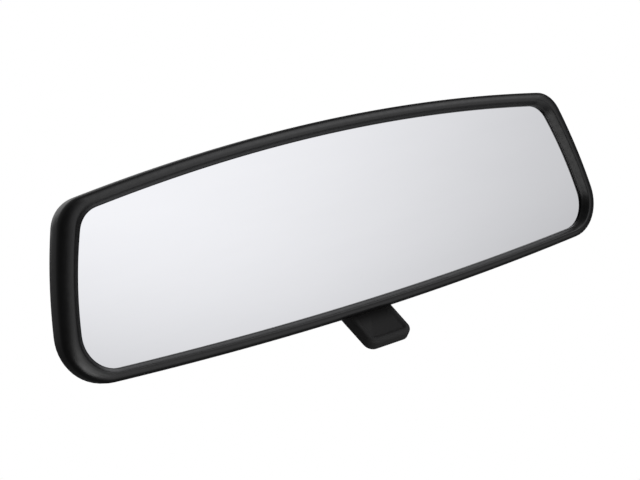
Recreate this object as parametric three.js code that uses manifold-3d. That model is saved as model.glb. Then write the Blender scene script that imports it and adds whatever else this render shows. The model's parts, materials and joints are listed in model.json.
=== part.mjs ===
// Interior rearview mirror with a day/night lever, on a windscreen mount with a double ball arm.
//
// Millimetres, +Z up. The origin is the centre of the face that is bonded to the windscreen. +Y points
// forwards, out of the car, so the glass faces the driver at -Y, and +X is to the driver's right.

import * as THREE from "three";
import { mergeVertices } from "three/addons/utils/BufferGeometryUtils.js";
import Module from "manifold-3d";

const wasm = await Module();
wasm.setup();

// ---------------------------------------------------------------- driving dimensions

const GAP = 0.3; // between pieces that lie on each other
const PIN_CLEARANCE = 0.15; // between a pin and its bore
const SPHERE_GAP = 0.3; // between the nested spherical faces of a ball joint
const ROUND = 24; // sides of a full circle
const ARC_STEPS = 7; // steps along each spherical face

// Edge of the visible glass: arched top and bottom, leaning sides. Widths are half widths.
const OPENING = {
  top: 30.7,
  topRadius: 780,
  bottom: 30.6,
  bottomRadius: 1880,
  side: 114.8,
  lean: 13.7,
  sideRadius: 143,
  topCorner: 9.5,
  bottomCorner: 11.5,
};

// Width of the rim round the glass.
const RIM = { top: 5.2, bottom: 4.5, side: 7.6 };

// Outside of the mirror head, at its widest.
const HEAD = {
  top: OPENING.top + RIM.top,
  topRadius: 800,
  bottom: OPENING.bottom + RIM.bottom,
  bottomRadius: 1760,
  side: OPENING.side + RIM.side,
  lean: 12.4,
  sideRadius: 190,
  topCorner: 12,
  bottomCorner: 16,
};

// Bezel
const BEZEL_DEPTH = 5.4; // from the glass face to the joint with the housing
const BEZEL_WALL = 2.0;
const RIM_PROUD = 2.9; // height of the rim in front of the glass
const RIM_LIP = 0.9; // height of the upright lip at the glass
const RIM_SLOPE = 0.34; // share of the rim's width that slopes down to the lip
const RIM_ROLL = 3.0; // radius of the rolled outer edge
const POCKET_DEPTH = 3.0; // depth of the ledge that the glass sits in
const JOINT_GAP = 0.35; // visible line between the bezel and the housing

// Glass pack
const GLASS_OVERLAP = 2.0; // glass hidden behind the rim
const GLASS_THIN = 2.0; // thickness at the bottom edge
const WEDGE_ANGLE = 2.8; // degrees between the front and back faces
const BACKING = 0.3;
const BACKING_INSET = 0.5; // inside the edge of the glass
const FOAM = 1.6;
const FOAM_INSET = 9;

// Housing
const HOUSING_WALL = 2.2;
const HOUSING_DEPTH = 24.5; // at the middle
const HOUSING_END_DEPTH = 20.5; // at the two ends
const HOUSING_POWER = 3.05; // fullness of the rounded back
const BACK_HOLE = 9; // radius of the hole for the ball stud
const RIB = { inset: 19, pitch: 30, thickness: 1.6, height: 36 }; // inset from the end of the opening

// Tilt hinge between the housing and the bracket, at the top of the bracket
const HINGE_DEPTH = 15.5;
const HINGE_HEIGHT = 16;
const HINGE_PIN = 1.5; // radius
const BARREL = 4; // radius
const BARREL_LENGTH = 56;
const LUG = 5; // thickness of each lug that holds a pin
const HINGE_LUG = 4; // half height of a hinge lug, and its reach in front of the pin
const PIN_END = 1.2; // length of the pin past its clip
const CLIP = { radius: 3, thickness: 0.8 };
const TILT = 4.5; // degrees between the day and night positions

// Bracket
const BRACKET_PLATE = 3;
const BRACKET_TOP = 52; // width
const BRACKET_LOW = 26; // width
const BRACKET_CHEEK = 6; // height of its straight upper sides
const BOSS = { radius: 8, front: 2.2, back: 3.6 }; // distances from the middle of the plate
const BUMPER = { width: 9, height: 12, thickness: 2, offset: 17, drop: 19 };
const PLATE_HOLE = { radius: 3, offset: 19, drop: 8.6 }; // drop below the hinge

// Lever
const LEVER_DEPTH = 13; // place of its pin
const LEVER_LIFT = 3.3; // of its pin above the edge of the glass
const LEVER_HEIGHT = LEVER_LIFT - OPENING.bottom;
const LEVER_PIN = 1.2; // radius
const LEVER_WIDTH = 20.4;
const LEVER_ROOT = 5.6; // thickness at the hub
const LEVER_TIP = 4.8; // thickness at the tip
const LEVER_REACH = 27; // from the pin to the tip
const LEVER_SLOPE = 47; // degrees below the horizontal, towards the driver
const LEVER_FLIP = 47; // degrees between its two positions
const LEVER_CORNER = 2.4;
const LEVER_EDGE = 1.5; // rounding of the tip, seen from the side
const LEVER_LUG = { half: 3.6, top: 3.4 }; // half width of a lug, and its height above the pin
const LEVER_NOSE = 1.2; // radius of the nose that pushes the bracket
const NOSE_NECK = 0.7; // half thickness of the web between the hub and the nose
const NOSE_INSET = 1.6; // of each end of the nose from the side of the lever
const NOSE_CLEARANCE = 0.25;
// Overlap is how far a prong reaches past the nose, and throat the room above the nose.
const PRONG = { thickness: 1.6, overlap: 0.4, inset: 0.6, throat: 0.6 };
const FORK_DEPTH = 4.2; // from the nose to the bracket plate
const SLOT_SIDE = 0.9; // room beside the lever in its slot
const SLOT_FRONT = 0.6;
const SLOT_BACK = 18;
const DISH = { radius: 26, depth: 0.8, inset: 8 }; // hollow for the finger, inset from the tip

// Ball joints and arm
const BALL = 7; // radius
const NECK = 3.1; // radius
const LINER = 0.95;
const SEAT = 1.1;
const TUBE_WALL = 1.3;
const LIP_ANGLE = 56; // half angle of the mouth of each socket
const SEAT_FLOOR = 2.95; // thickness behind the liner
const SPIGOT = { radius: 3.9, length: 2 };
const ARM_LENGTH = 46; // between ball centres
const ARM_RISE = 10; // degrees
const WAIST = 9.2; // radius of the middle of the arm
const WAIST_ROOM = 4.5; // from the seat to the start of the slope
const SHOULDER = 4; // length of the slope down to the waist
const SPRING = { coil: 5.5, wire: 0.7, turns: 6 };
const STUD_FLANGE = { radius: 5.8, thickness: 1.8 };
const NECK_FLARE = 1.6; // length of the neck that widens to the flange
const SHANK = 2.5; // radius
const NUT = { across: 8, thickness: 2.2 };
const SHANK_END = 0.4; // length past the nut
const PAST = 5; // length that cutters and trimmed shapes run past what they meet
const MOUNT_SHANK = 8; // length in the shoe
const WASHER = { radius: 5, thickness: 0.8 };

// Nested spherical faces, from the ball out to the tube
const LINER_IN = BALL + SPHERE_GAP;
const LINER_OUT = LINER_IN + LINER;
const SEAT_IN = LINER_OUT + SPHERE_GAP;
const SEAT_OUT = SEAT_IN + SEAT;
const SEAT_LENGTH = SEAT_IN + SEAT_FLOOR;
const TUBE_IN = SEAT_OUT + SPHERE_GAP;
const TUBE_OUT = TUBE_IN + TUBE_WALL;

// Places
const SOCKET_ROOM = 2.75; // between the back of the head and the swing of the socket
const HEAD_BALL = new THREE.Vector3(0, HOUSING_DEPTH + SOCKET_ROOM + TUBE_OUT, -3); // from the glass face
const BOND_FROM_BALL = new THREE.Vector3(0, 8.25 + TUBE_OUT, 6.75 + TUBE_OUT); // from the mount ball

// Windscreen mount
const WINDSCREEN_RAKE = 30; // degrees above the horizontal
const BUTTON = { width: 22, length: 27, thickness: 4, corner: 4 };
const SHOE = { side: 4, end: 2, thickness: 6.8, corner: 5, recess: 0.8 };
const SHOE_BOSS = 6.8; // radius
const STUD_START = 1.15 + TUBE_OUT; // of the flange, from the mount ball
const SET_SCREW = { radius: 2.5, offset: 9.5, hex: 2.6, socket: 2.2 };

// ---------------------------------------------------------------- materials

const finish = (color, roughness, metalness = 0) =>
  new THREE.MeshStandardMaterial({ color, roughness, metalness });
const BLACK_PLASTIC = finish(0x1c1c1d, 0.5);
const LEVER_PLASTIC = finish(0x1f1f22, 0.42);
const MIRROR = finish(0xdfe0e6, 0.03, 1);
const SILVER = finish(0x8d9096, 0.35, 1);
const FOAM_GREY = finish(0x4a4b4e, 0.95);
const ZINC = finish(0x8f9193, 0.42, 1);
const STEEL = finish(0xb9bbbd, 0.28, 1);
const NYLON = finish(0xd8d4c6, 0.5);
const BLACK_STEEL = finish(0x232426, 0.38, 1);
const RUBBER = finish(0x161616, 0.85);

// ---------------------------------------------------------------- helpers

const radians = THREE.MathUtils.degToRad;
const lerp = THREE.MathUtils.lerp;

// A closed geometry as a solid that can be cut and joined.
function solid(geometry) {
  const bare = geometry.clone();
  bare.deleteAttribute("normal");
  bare.deleteAttribute("uv");
  const merged = mergeVertices(bare, 1e-4);
  return new wasm.Manifold(
    new wasm.Mesh({
      numProp: 3,
      vertProperties: new Float32Array(merged.attributes.position.array),
      triVerts: new Uint32Array(merged.index.array),
    }),
  );
}

// The geometry of a solid.
function geometryOf(body) {
  const mesh = body.getMesh();
  const geometry = new THREE.BufferGeometry();
  geometry.setAttribute("position", new THREE.BufferAttribute(mesh.vertProperties, 3));
  geometry.setIndex(new THREE.BufferAttribute(mesh.triVerts, 1));
  return geometry.toNonIndexed();
}

const joined = (...parts) => parts.reduce((a, b) => a.add(b));
const cutBy = (body, ...tools) => tools.reduce((a, b) => a.subtract(b), body);

function named(name, shape, material) {
  const geometry = shape.isBufferGeometry ? shape : geometryOf(shape);
  geometry.computeVertexNormals();
  const mesh = new THREE.Mesh(geometry, material);
  mesh.name = name;
  return mesh;
}

// A box between two corners.
function block(low, high) {
  const size = new THREE.Vector3(...high).sub(new THREE.Vector3(...low));
  const middle = new THREE.Vector3(...low).addScaledVector(size, 0.5);
  return solid(new THREE.BoxGeometry(size.x, size.y, size.z).translate(middle.x, middle.y, middle.z));
}

// A cylinder along Y from y0 to y1.
function rodY(radius, y0, y1, sides = ROUND) {
  return new THREE.CylinderGeometry(radius, radius, y1 - y0, sides).translate(0, (y0 + y1) / 2, 0);
}

// A cylinder along X from x0 to x1 about the line at (y, z).
function rodX(radius, x0, x1, y, z, sides = ROUND) {
  return rodY(radius, x0, x1, sides)
    .rotateZ(-Math.PI / 2)
    .translate(0, y, z);
}

// An outline in X and Z, extruded along Y.
function extrudeY(shape, y0, y1, options = {}) {
  const settings = { depth: y1 - y0, bevelEnabled: false, curveSegments: 4, ...options };
  return new THREE.ExtrudeGeometry(shape, settings).rotateX(Math.PI / 2).translate(0, y1, 0);
}

// An outline in Y and Z, extruded along X and centred on x = 0.
function extrudeX(shape, width) {
  return new THREE.ExtrudeGeometry(shape, { depth: width, bevelEnabled: false, curveSegments: 6 })
    .translate(0, 0, -width / 2)
    .rotateX(Math.PI / 2)
    .rotateZ(Math.PI / 2);
}

// A rectangle with round corners, centred on the origin.
function roundedRectangle(width, height, corner) {
  const shape = new THREE.Shape();
  const x = width / 2 - corner;
  const y = height / 2 - corner;
  shape.absarc(x, y, corner, 0, Math.PI / 2);
  shape.absarc(-x, y, corner, Math.PI / 2, Math.PI);
  shape.absarc(-x, -y, corner, Math.PI, Math.PI * 1.5);
  shape.absarc(x, -y, corner, Math.PI * 1.5, Math.PI * 2);
  return shape;
}

// Points along an arc in the plane of a lathe profile; angles are measured from +x towards +y.
function arcPoints(centre, radius, from, to, steps) {
  const points = [];
  for (let i = 0; i <= steps; i++) {
    const a = radians(lerp(from, to, i / steps));
    points.push(new THREE.Vector2(centre.x + radius * Math.cos(a), centre.y + radius * Math.sin(a)));
  }
  return points;
}

// Centre of the corner circle that touches two larger circles from inside, on the side of `towards`.
function cornerCentre(first, second, corner, towards) {
  const r1 = first.radius - corner;
  const r2 = second.radius - corner;
  const between = second.centre.clone().sub(first.centre);
  const d = between.length();
  const along = (r1 * r1 - r2 * r2 + d * d) / (2 * d);
  const across = Math.sqrt(r1 * r1 - along * along);
  const unit = between.divideScalar(d);
  const foot = first.centre.clone().addScaledVector(unit, along);
  const side = new THREE.Vector2(-unit.y, unit.x);
  const options = [across, -across].map((s) => foot.clone().addScaledVector(side, s));
  return options.sort((a, b) => b.dot(towards) - a.dot(towards))[0];
}

// The outline of `face`, grown outwards by `grow`, as points in X and Z, anticlockwise from the top.
function faceOutline(face, grow = 0) {
  const lean = radians(face.lean);
  const top = { centre: new THREE.Vector2(0, face.top - face.topRadius), radius: face.topRadius };
  const low = { centre: new THREE.Vector2(0, face.bottomRadius - face.bottom), radius: face.bottomRadius };
  const side = {
    centre: new THREE.Vector2(face.side, 0).sub(
      new THREE.Vector2(Math.cos(lean), Math.sin(lean)).multiplyScalar(face.sideRadius),
    ),
    radius: face.sideRadius,
  };
  const upper = cornerCentre(top, side, face.topCorner, new THREE.Vector2(1, 0.3));
  const lower = cornerCentre(low, side, face.bottomCorner, new THREE.Vector2(1, -0.3));
  const bearing = (from, to) => THREE.MathUtils.radToDeg(to.clone().sub(from).angle());
  const signed = (degrees) => (degrees > 180 ? degrees - 360 : degrees);
  const topTurn = bearing(top.centre, upper);
  const sideTop = bearing(side.centre, upper);
  const sideLow = signed(bearing(side.centre, lower));
  const lowTurn = signed(bearing(low.centre, lower));
  const right = [
    ...arcPoints(top.centre, top.radius + grow, 90, topTurn, 8),
    ...arcPoints(upper, face.topCorner + grow, topTurn, sideTop, 5).slice(1),
    ...arcPoints(side.centre, side.radius + grow, sideTop, sideLow, 4).slice(1),
    ...arcPoints(lower, face.bottomCorner + grow, sideLow, lowTurn, 5).slice(1),
    ...arcPoints(low.centre, low.radius + grow, lowTurn, -90, 8).slice(1),
  ];
  const left = right.slice(1, -1).map((p) => new THREE.Vector2(-p.x, p.y));
  return [...left, ...right.reverse()];
}

// A closed surface through rings of points. The last ring joins the first when `ring` is true;
// otherwise each end is closed by a fan to the middle of its ring.
function loft(rings, ring = false) {
  const count = rings[0].length;
  const points = rings.flat();
  const faces = [];
  const turns = ring ? rings.length : rings.length - 1;
  for (let r = 0; r < turns; r++) {
    const here = r * count;
    const next = ((r + 1) % rings.length) * count;
    for (let i = 0; i < count; i++) {
      const j = (i + 1) % count;
      faces.push(here + i, next + j, here + j, here + i, next + i, next + j);
    }
  }
  if (!ring) {
    const cap = (start, flip) => {
      const middle = new THREE.Vector3();
      for (let i = 0; i < count; i++) middle.addScaledVector(points[start + i], 1 / count);
      points.push(middle);
      for (let i = 0; i < count; i++) {
        const pair = [start + i, start + ((i + 1) % count)];
        faces.push(points.length - 1, ...(flip ? pair.reverse() : pair));
      }
    };
    cap(0, false);
    cap((rings.length - 1) * count, true);
  }
  const geometry = new THREE.BufferGeometry().setFromPoints(points);
  geometry.setIndex(faces);
  return geometry.toNonIndexed();
}

const ringAt = (outline, y) => outline.map((p) => new THREE.Vector3(p.x, y, p.y));

// ---------------------------------------------------------------- glass pack

const wedge = Math.tan(radians(WEDGE_ANGLE));
const glassLow = -(OPENING.bottom + GLASS_OVERLAP);
// Depth of the back face of the glass at height z.
const glassBack = (z) => GLASS_THIN + (z - glassLow) * wedge;

// A sheet that follows the sloping back of the glass, from `front` to `back` behind it.
function slopingSheet(outline, front, back) {
  const ring = (offset) => outline.map((p) => new THREE.Vector3(p.x, glassBack(p.y) + offset, p.y));
  return loft([ring(front), ring(back)]);
}

function mirrorGlass() {
  const outline = faceOutline(OPENING, GLASS_OVERLAP);
  const back = outline.map((p) => new THREE.Vector3(p.x, glassBack(p.y), p.y));
  return named("mirror_glass", loft([ringAt(outline, 0), back]), MIRROR);
}

function silverBacking() {
  const outline = faceOutline(OPENING, GLASS_OVERLAP - BACKING_INSET);
  return named("silver_backing", slopingSheet(outline, GAP, GAP + BACKING), SILVER);
}

const foamFront = GAP + BACKING + GAP;
const foamBack = foamFront + FOAM;

function foamPad() {
  const outline = faceOutline(OPENING, -FOAM_INSET);
  return named("foam_pad", slopingSheet(outline, foamFront, foamBack), FOAM_GREY);
}

// ---------------------------------------------------------------- bezel and housing

// The slot in the bottom wall that the lever swings in.
function leverSlot() {
  const half = LEVER_WIDTH / 2 + SLOT_SIDE;
  const top = LEVER_HEIGHT + LEVER_ROOT / 2 + SLOT_SIDE;
  return block([-half, SLOT_FRONT, -HEAD.bottom - 8], [half, SLOT_BACK, top]);
}

const rimBack = RIM_ROLL - RIM_PROUD; // depth of the widest part of the head

// The whole outside of the head as a solid, shrunk by `inset`: a flat front, a rolled edge and a
// rounded back that is deeper in the middle than at the ends.
function headForm(inset) {
  const depthAt = (x) => {
    const share = x / HEAD.side;
    return lerp(HOUSING_DEPTH, HOUSING_END_DEPTH, share * share) - inset;
  };
  const roll = (angle) => {
    const a = radians(angle);
    const grow = -RIM_ROLL * (1 - Math.sin(a)) - inset;
    return ringAt(faceOutline(HEAD, grow), -RIM_PROUD + RIM_ROLL * (1 - Math.cos(a)));
  };
  const outline = faceOutline(HEAD, -inset);
  const back = (angle) => {
    const scale = Math.cos(radians(angle)) ** (2 / HOUSING_POWER);
    const rise = Math.sin(radians(angle)) ** (2 / HOUSING_POWER);
    return outline.map((p) => {
      const x = p.x * scale;
      return new THREE.Vector3(x, lerp(rimBack, depthAt(x), rise), p.y * scale);
    });
  };
  return solid(loft([...[0, 30, 60, 90].map(roll), ...[7, 16, 27, 39, 51, 62, 72, 81, 87].map(back)]));
}

// Everything in front of or behind a depth, as wide as the head.
function slab(y0, y1) {
  const half = HEAD.side + PAST;
  return block([-half, y0, -half], [half, y1, half]);
}

function frontBezel() {
  const opening = faceOutline(OPENING);
  const ledge = faceOutline(OPENING, GLASS_OVERLAP + GAP);
  const slopeRise = (RIM_PROUD - RIM_LIP) / RIM_SLOPE; // over the whole width of the rim
  const window = loft([
    ringAt(faceOutline(HEAD), -RIM_LIP - slopeRise),
    ringAt(opening, -RIM_LIP),
    ringAt(opening, -GAP),
    ringAt(ledge, -GAP),
    ringAt(ledge, POCKET_DEPTH + 1),
  ]);
  const cavity = headForm(BEZEL_WALL).intersect(slab(POCKET_DEPTH, BEZEL_DEPTH + 1));
  const outside = headForm(0).intersect(slab(-RIM_PROUD - 1, BEZEL_DEPTH));
  return named("front_bezel", cutBy(outside, solid(window), cavity, leverSlot()), BLACK_PLASTIC);
}

// Two lugs that hold a pin at (y, z); `inside` is the distance between them.
function lugPair(inside, y, z, radius, low, high) {
  const bore = solid(rodX(radius, -inside / 2 - LUG - 1, inside / 2 + LUG + 1, y, z));
  const lug = (side) => {
    const x = [side * (inside / 2), side * (inside / 2 + LUG)].sort((a, b) => a - b);
    return block([x[0], low[0], low[1]], [x[1], high[0], high[1]]);
  };
  return [cutBy(lug(-1), bore), cutBy(lug(1), bore)];
}

// An upright rib behind the foam pad, at x.
function foamRib(x) {
  const low = -RIB.height / 2;
  const high = RIB.height / 2;
  const front = (z) => glassBack(z) + foamBack + GAP;
  const shape = new THREE.Shape([
    new THREE.Vector2(front(low), low),
    new THREE.Vector2(HOUSING_DEPTH + PAST, low),
    new THREE.Vector2(HOUSING_DEPTH + PAST, high),
    new THREE.Vector2(front(high), high),
  ]);
  return solid(extrudeX(shape, RIB.thickness).translate(x, 0, 0));
}

function rearHousing() {
  const outside = headForm(0).intersect(slab(BEZEL_DEPTH + JOINT_GAP, HOUSING_DEPTH + 1));
  const inside = headForm(HOUSING_WALL);
  const hingeLugs = lugPair(
    BARREL_LENGTH + 2 * GAP,
    HINGE_DEPTH,
    HINGE_HEIGHT,
    HINGE_PIN + PIN_CLEARANCE,
    [HINGE_DEPTH - HINGE_LUG, HINGE_HEIGHT - HINGE_LUG],
    [HOUSING_DEPTH + PAST, HINGE_HEIGHT + HINGE_LUG],
  );
  const leverLugs = lugPair(
    LEVER_WIDTH + 2 * SLOT_SIDE,
    LEVER_DEPTH,
    LEVER_HEIGHT,
    LEVER_PIN + PIN_CLEARANCE,
    [LEVER_DEPTH - LEVER_LUG.half, -HEAD.bottom - PAST],
    [LEVER_DEPTH + LEVER_LUG.half, LEVER_HEIGHT + LEVER_LUG.top],
  );
  const ribPlaces = [OPENING.side - RIB.inset, OPENING.side - RIB.inset - RIB.pitch];
  const ribs = ribPlaces.flatMap((x) => [foamRib(-x), foamRib(x)]);
  const fittings = joined(...hingeLugs, ...leverLugs, ...ribs).intersect(outside);
  const through = rodY(BACK_HOLE, HOUSING_DEPTH - 8, HOUSING_DEPTH + 8);
  const hole = solid(through.translate(0, 0, studHeight(HOUSING_DEPTH)));
  const shell = cutBy(outside, inside).add(fittings);
  return named("rear_housing", cutBy(shell, leverSlot(), hole), BLACK_PLASTIC);
}

// ---------------------------------------------------------------- lever

// Length of the nose crank: it moves the foot of the bracket by the tilt while the lever flips.
const tiltRadians = radians(TILT);
const halfFlip = radians(LEVER_FLIP / 2);
const CRANK =
  (tiltRadians * (HINGE_HEIGHT - LEVER_HEIGHT)) /
  (2 * Math.sin(halfFlip) + tiltRadians * Math.cos(halfFlip));
const NOSE = {
  y: LEVER_DEPTH + CRANK * Math.sin(halfFlip),
  z: LEVER_HEIGHT + CRANK * Math.cos(halfFlip),
};
const bracketFoot = NOSE.z + FORK_DEPTH;

function dayNightLever() {
  const profile = new THREE.Shape();
  const root = LEVER_ROOT / 2;
  const tip = LEVER_TIP / 2;
  profile.absarc(0, 0, root, Math.PI / 2, Math.PI * 1.5);
  profile.lineTo(LEVER_REACH - LEVER_EDGE, -tip);
  profile.absarc(LEVER_REACH - LEVER_EDGE, -tip + LEVER_EDGE, LEVER_EDGE, -Math.PI / 2, 0);
  profile.lineTo(LEVER_REACH, tip - LEVER_EDGE);
  profile.absarc(LEVER_REACH - LEVER_EDGE, tip - LEVER_EDGE, LEVER_EDGE, 0, Math.PI / 2);
  const side = solid(extrudeX(profile, LEVER_WIDTH));
  const plan = roundedRectangle(LEVER_WIDTH, 2 * LEVER_REACH, LEVER_CORNER);
  const above = new THREE.ExtrudeGeometry(plan, { depth: 20, bevelEnabled: false, curveSegments: 5 });
  const blade = side.intersect(solid(above.translate(0, 0, -10)));
  const dishAt = DISH.depth - tip - DISH.radius;
  const ball = new THREE.SphereGeometry(DISH.radius, 40, 28);
  const dish = solid(ball.translate(0, LEVER_REACH - DISH.inset, dishAt));
  const tilted = geometryOf(blade.subtract(dish))
    .rotateX(Math.PI + radians(LEVER_SLOPE))
    .translate(0, LEVER_DEPTH, LEVER_HEIGHT);
  const noseHalf = LEVER_WIDTH / 2 - NOSE_INSET;
  const nose = solid(rodX(LEVER_NOSE, -noseHalf, noseHalf, NOSE.y, NOSE.z, 16));
  const web = new THREE.BoxGeometry(2 * noseHalf, 2 * NOSE_NECK, CRANK).translate(0, 0, CRANK / 2);
  const neck = solid(web.rotateX(-halfFlip).translate(0, LEVER_DEPTH, LEVER_HEIGHT));
  const bore = solid(rodX(LEVER_PIN + PIN_CLEARANCE, -LEVER_WIDTH, LEVER_WIDTH, LEVER_DEPTH, LEVER_HEIGHT));
  return named("day_night_lever", cutBy(joined(solid(tilted), neck, nose), bore), LEVER_PLASTIC);
}

function leverPin() {
  const half = LEVER_WIDTH / 2 + SLOT_SIDE + LUG - 0.4;
  return named("lever_pin", rodX(LEVER_PIN, -half, half, LEVER_DEPTH, LEVER_HEIGHT, 16), STEEL);
}

// ---------------------------------------------------------------- bracket

const riseTan = Math.tan(radians(ARM_RISE));
// Height of the stud axis at depth y.
function studHeight(y) {
  return HEAD_BALL.z - (HEAD_BALL.y - y) * riseTan;
}
const plateFront = HINGE_DEPTH - BRACKET_PLATE / 2;
const plateBack = HINGE_DEPTH + BRACKET_PLATE / 2;
// Distance from the ball to the middle of the boss, along the stud.
const bossDistance = (HEAD_BALL.y - HINGE_DEPTH) / Math.cos(radians(ARM_RISE));

// Moves a shape from the stud's own frame, whose +Y runs from the bracket to the arm, to the head.
const alongStud = (geometry) =>
  geometry.rotateX(radians(ARM_RISE)).translate(HEAD_BALL.x, HEAD_BALL.y, HEAD_BALL.z);

function bracketPlate() {
  const shape = new THREE.Shape([
    new THREE.Vector2(-BRACKET_LOW / 2, bracketFoot),
    new THREE.Vector2(BRACKET_LOW / 2, bracketFoot),
    new THREE.Vector2(BRACKET_TOP / 2, HINGE_HEIGHT - BRACKET_CHEEK),
    new THREE.Vector2(BRACKET_TOP / 2, HINGE_HEIGHT),
    new THREE.Vector2(-BRACKET_TOP / 2, HINGE_HEIGHT),
    new THREE.Vector2(-BRACKET_TOP / 2, HINGE_HEIGHT - BRACKET_CHEEK),
  ]);
  return solid(extrudeY(shape, plateFront, plateBack));
}

function toggleBracket() {
  const half = BARREL_LENGTH / 2;
  const barrel = solid(rodX(BARREL, -half, half, HINGE_DEPTH, HINGE_HEIGHT));
  const boss = solid(alongStud(rodY(BOSS.radius, -bossDistance - BOSS.front, -bossDistance + BOSS.back)));
  const reach = LEVER_NOSE + NOSE_CLEARANCE;
  const prongHalf = LEVER_WIDTH / 2 - PRONG.inset;
  const tipHeight = NOSE.z - PRONG.overlap;
  const throat = NOSE.z + reach + PRONG.throat;
  const fork = cutBy(
    block(
      [-prongHalf, NOSE.y - reach - PRONG.thickness, tipHeight],
      [prongHalf, NOSE.y + reach + PRONG.thickness, bracketFoot + 3],
    ),
    block([-prongHalf - 1, NOSE.y - reach, tipHeight - 1], [prongHalf + 1, NOSE.y + reach, throat]),
  );
  const holeHeight = HINGE_HEIGHT - PLATE_HOLE.drop;
  const holeThrough = () => rodY(PLATE_HOLE.radius, plateFront - 1, plateBack + 1);
  const hole = (x) => solid(holeThrough().translate(x, 0, holeHeight));
  const bore = solid(rodX(HINGE_PIN + PIN_CLEARANCE, -half - 1, half + 1, HINGE_DEPTH, HINGE_HEIGHT));
  const shankBore = solid(alongStud(rodY(SHANK + PIN_CLEARANCE, -bossDistance - 8, -bossDistance + 8)));
  const body = joined(bracketPlate(), barrel, boss, fork);
  const holes = [hole(-PLATE_HOLE.offset), hole(PLATE_HOLE.offset)];
  return named("toggle_bracket", cutBy(body, bore, shankBore, ...holes), ZINC);
}

const hingePinHalf = BARREL_LENGTH / 2 + GAP + LUG + GAP + CLIP.thickness + PIN_END;

function bracketHingePin() {
  const pin = rodX(HINGE_PIN, -hingePinHalf, hingePinHalf, HINGE_DEPTH, HINGE_HEIGHT);
  return named("bracket_hinge_pin", pin, STEEL);
}

// A spring clip round one end of the hinge pin, open at the bottom.
function hingeClip(name, side) {
  const near = side * (BARREL_LENGTH / 2 + GAP + LUG + GAP);
  const far = near + side * CLIP.thickness;
  const [x0, x1] = [Math.min(near, far), Math.max(near, far)];
  const disc = solid(rodX(CLIP.radius, x0, x1, HINGE_DEPTH, HINGE_HEIGHT));
  const bore = solid(rodX(HINGE_PIN + PIN_CLEARANCE, x0 - 1, x1 + 1, HINGE_DEPTH, HINGE_HEIGHT));
  const mouth = block(
    [x0 - 1, HINGE_DEPTH - 1, HINGE_HEIGHT - CLIP.radius - 1],
    [x1 + 1, HINGE_DEPTH + 1, HINGE_HEIGHT],
  );
  return named(name, cutBy(disc, bore, mouth), BLACK_STEEL);
}

// A rubber bumper on the back of the bracket.
function bracketBumper(name, side) {
  const shape = roundedRectangle(BUMPER.width, BUMPER.height, 2);
  const pad = extrudeY(shape, plateBack + GAP, plateBack + GAP + BUMPER.thickness);
  return named(name, pad.translate(side * BUMPER.offset, 0, HINGE_HEIGHT - BUMPER.drop), RUBBER);
}

// ---------------------------------------------------------------- ball joints and arm
// These lathe profiles turn about Y, from the ball centre at y = 0 towards the other ball.

const LIP = LIP_ANGLE - 90; // bearing of the lip of a socket in a profile
const CENTRE = new THREE.Vector2();

// Ball, neck and flange, then a plain shank; both distances are measured back from the ball.
function ballStud(flangeAt, shankEnd) {
  const neckAngle = THREE.MathUtils.radToDeg(Math.asin(NECK / BALL));
  const back = flangeAt + STUD_FLANGE.thickness;
  const points = [
    new THREE.Vector2(0, -shankEnd),
    new THREE.Vector2(SHANK, -shankEnd),
    new THREE.Vector2(SHANK, -back),
    new THREE.Vector2(STUD_FLANGE.radius, -back),
    new THREE.Vector2(STUD_FLANGE.radius, -flangeAt),
    new THREE.Vector2(NECK, -flangeAt + NECK_FLARE),
    ...arcPoints(CENTRE, BALL, neckAngle - 90, 90, 11).slice(0, -1),
    new THREE.Vector2(0, BALL),
  ];
  return new THREE.LatheGeometry(points, ROUND);
}

function ballLiner() {
  const inner = arcPoints(CENTRE, LINER_IN, 90, LIP, ARC_STEPS).slice(1);
  const outer = arcPoints(CENTRE, LINER_OUT, LIP, 90, ARC_STEPS).slice(0, -1);
  const points = [new THREE.Vector2(0, LINER_IN), ...inner, ...outer, new THREE.Vector2(0, LINER_OUT)];
  return new THREE.LatheGeometry(points, ROUND);
}

function ballSeat() {
  const inner = arcPoints(CENTRE, SEAT_IN, 90, LIP, ARC_STEPS).slice(1);
  const outer = arcPoints(CENTRE, SEAT_OUT, LIP, 0, 4);
  const points = [
    new THREE.Vector2(0, SEAT_IN),
    ...inner,
    ...outer,
    new THREE.Vector2(SEAT_OUT, SEAT_LENGTH),
    new THREE.Vector2(SPIGOT.radius, SEAT_LENGTH),
    new THREE.Vector2(SPIGOT.radius, SEAT_LENGTH + SPIGOT.length),
    new THREE.Vector2(0, SEAT_LENGTH + SPIGOT.length),
  ];
  return new THREE.LatheGeometry(points, ROUND);
}

function armTube() {
  const half = (radius, waist) => [
    ...arcPoints(CENTRE, radius, LIP, 0, 4),
    new THREE.Vector2(radius, SEAT_LENGTH + WAIST_ROOM),
    new THREE.Vector2(waist, SEAT_LENGTH + WAIST_ROOM + SHOULDER),
  ];
  const over = (p) => new THREE.Vector2(p.x, ARM_LENGTH - p.y);
  const outer = half(TUBE_OUT, WAIST);
  const inner = half(TUBE_IN, WAIST - TUBE_WALL);
  const outside = [...outer, ...outer.map(over).reverse()];
  const inside = [...inner, ...inner.map(over).reverse()].reverse();
  const closed = [...outside, ...inside, outside[0].clone()];
  return named("arm_tube", new THREE.LatheGeometry(closed, ROUND), BLACK_STEEL);
}

class Helix extends THREE.Curve {
  constructor(radius, y0, y1, turns) {
    super();
    Object.assign(this, { radius, y0, y1, turns });
  }

  getPoint(t, target = new THREE.Vector3()) {
    const a = t * this.turns * 2 * Math.PI;
    return target.set(this.radius * Math.cos(a), lerp(this.y0, this.y1, t), this.radius * Math.sin(a));
  }
}

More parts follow.
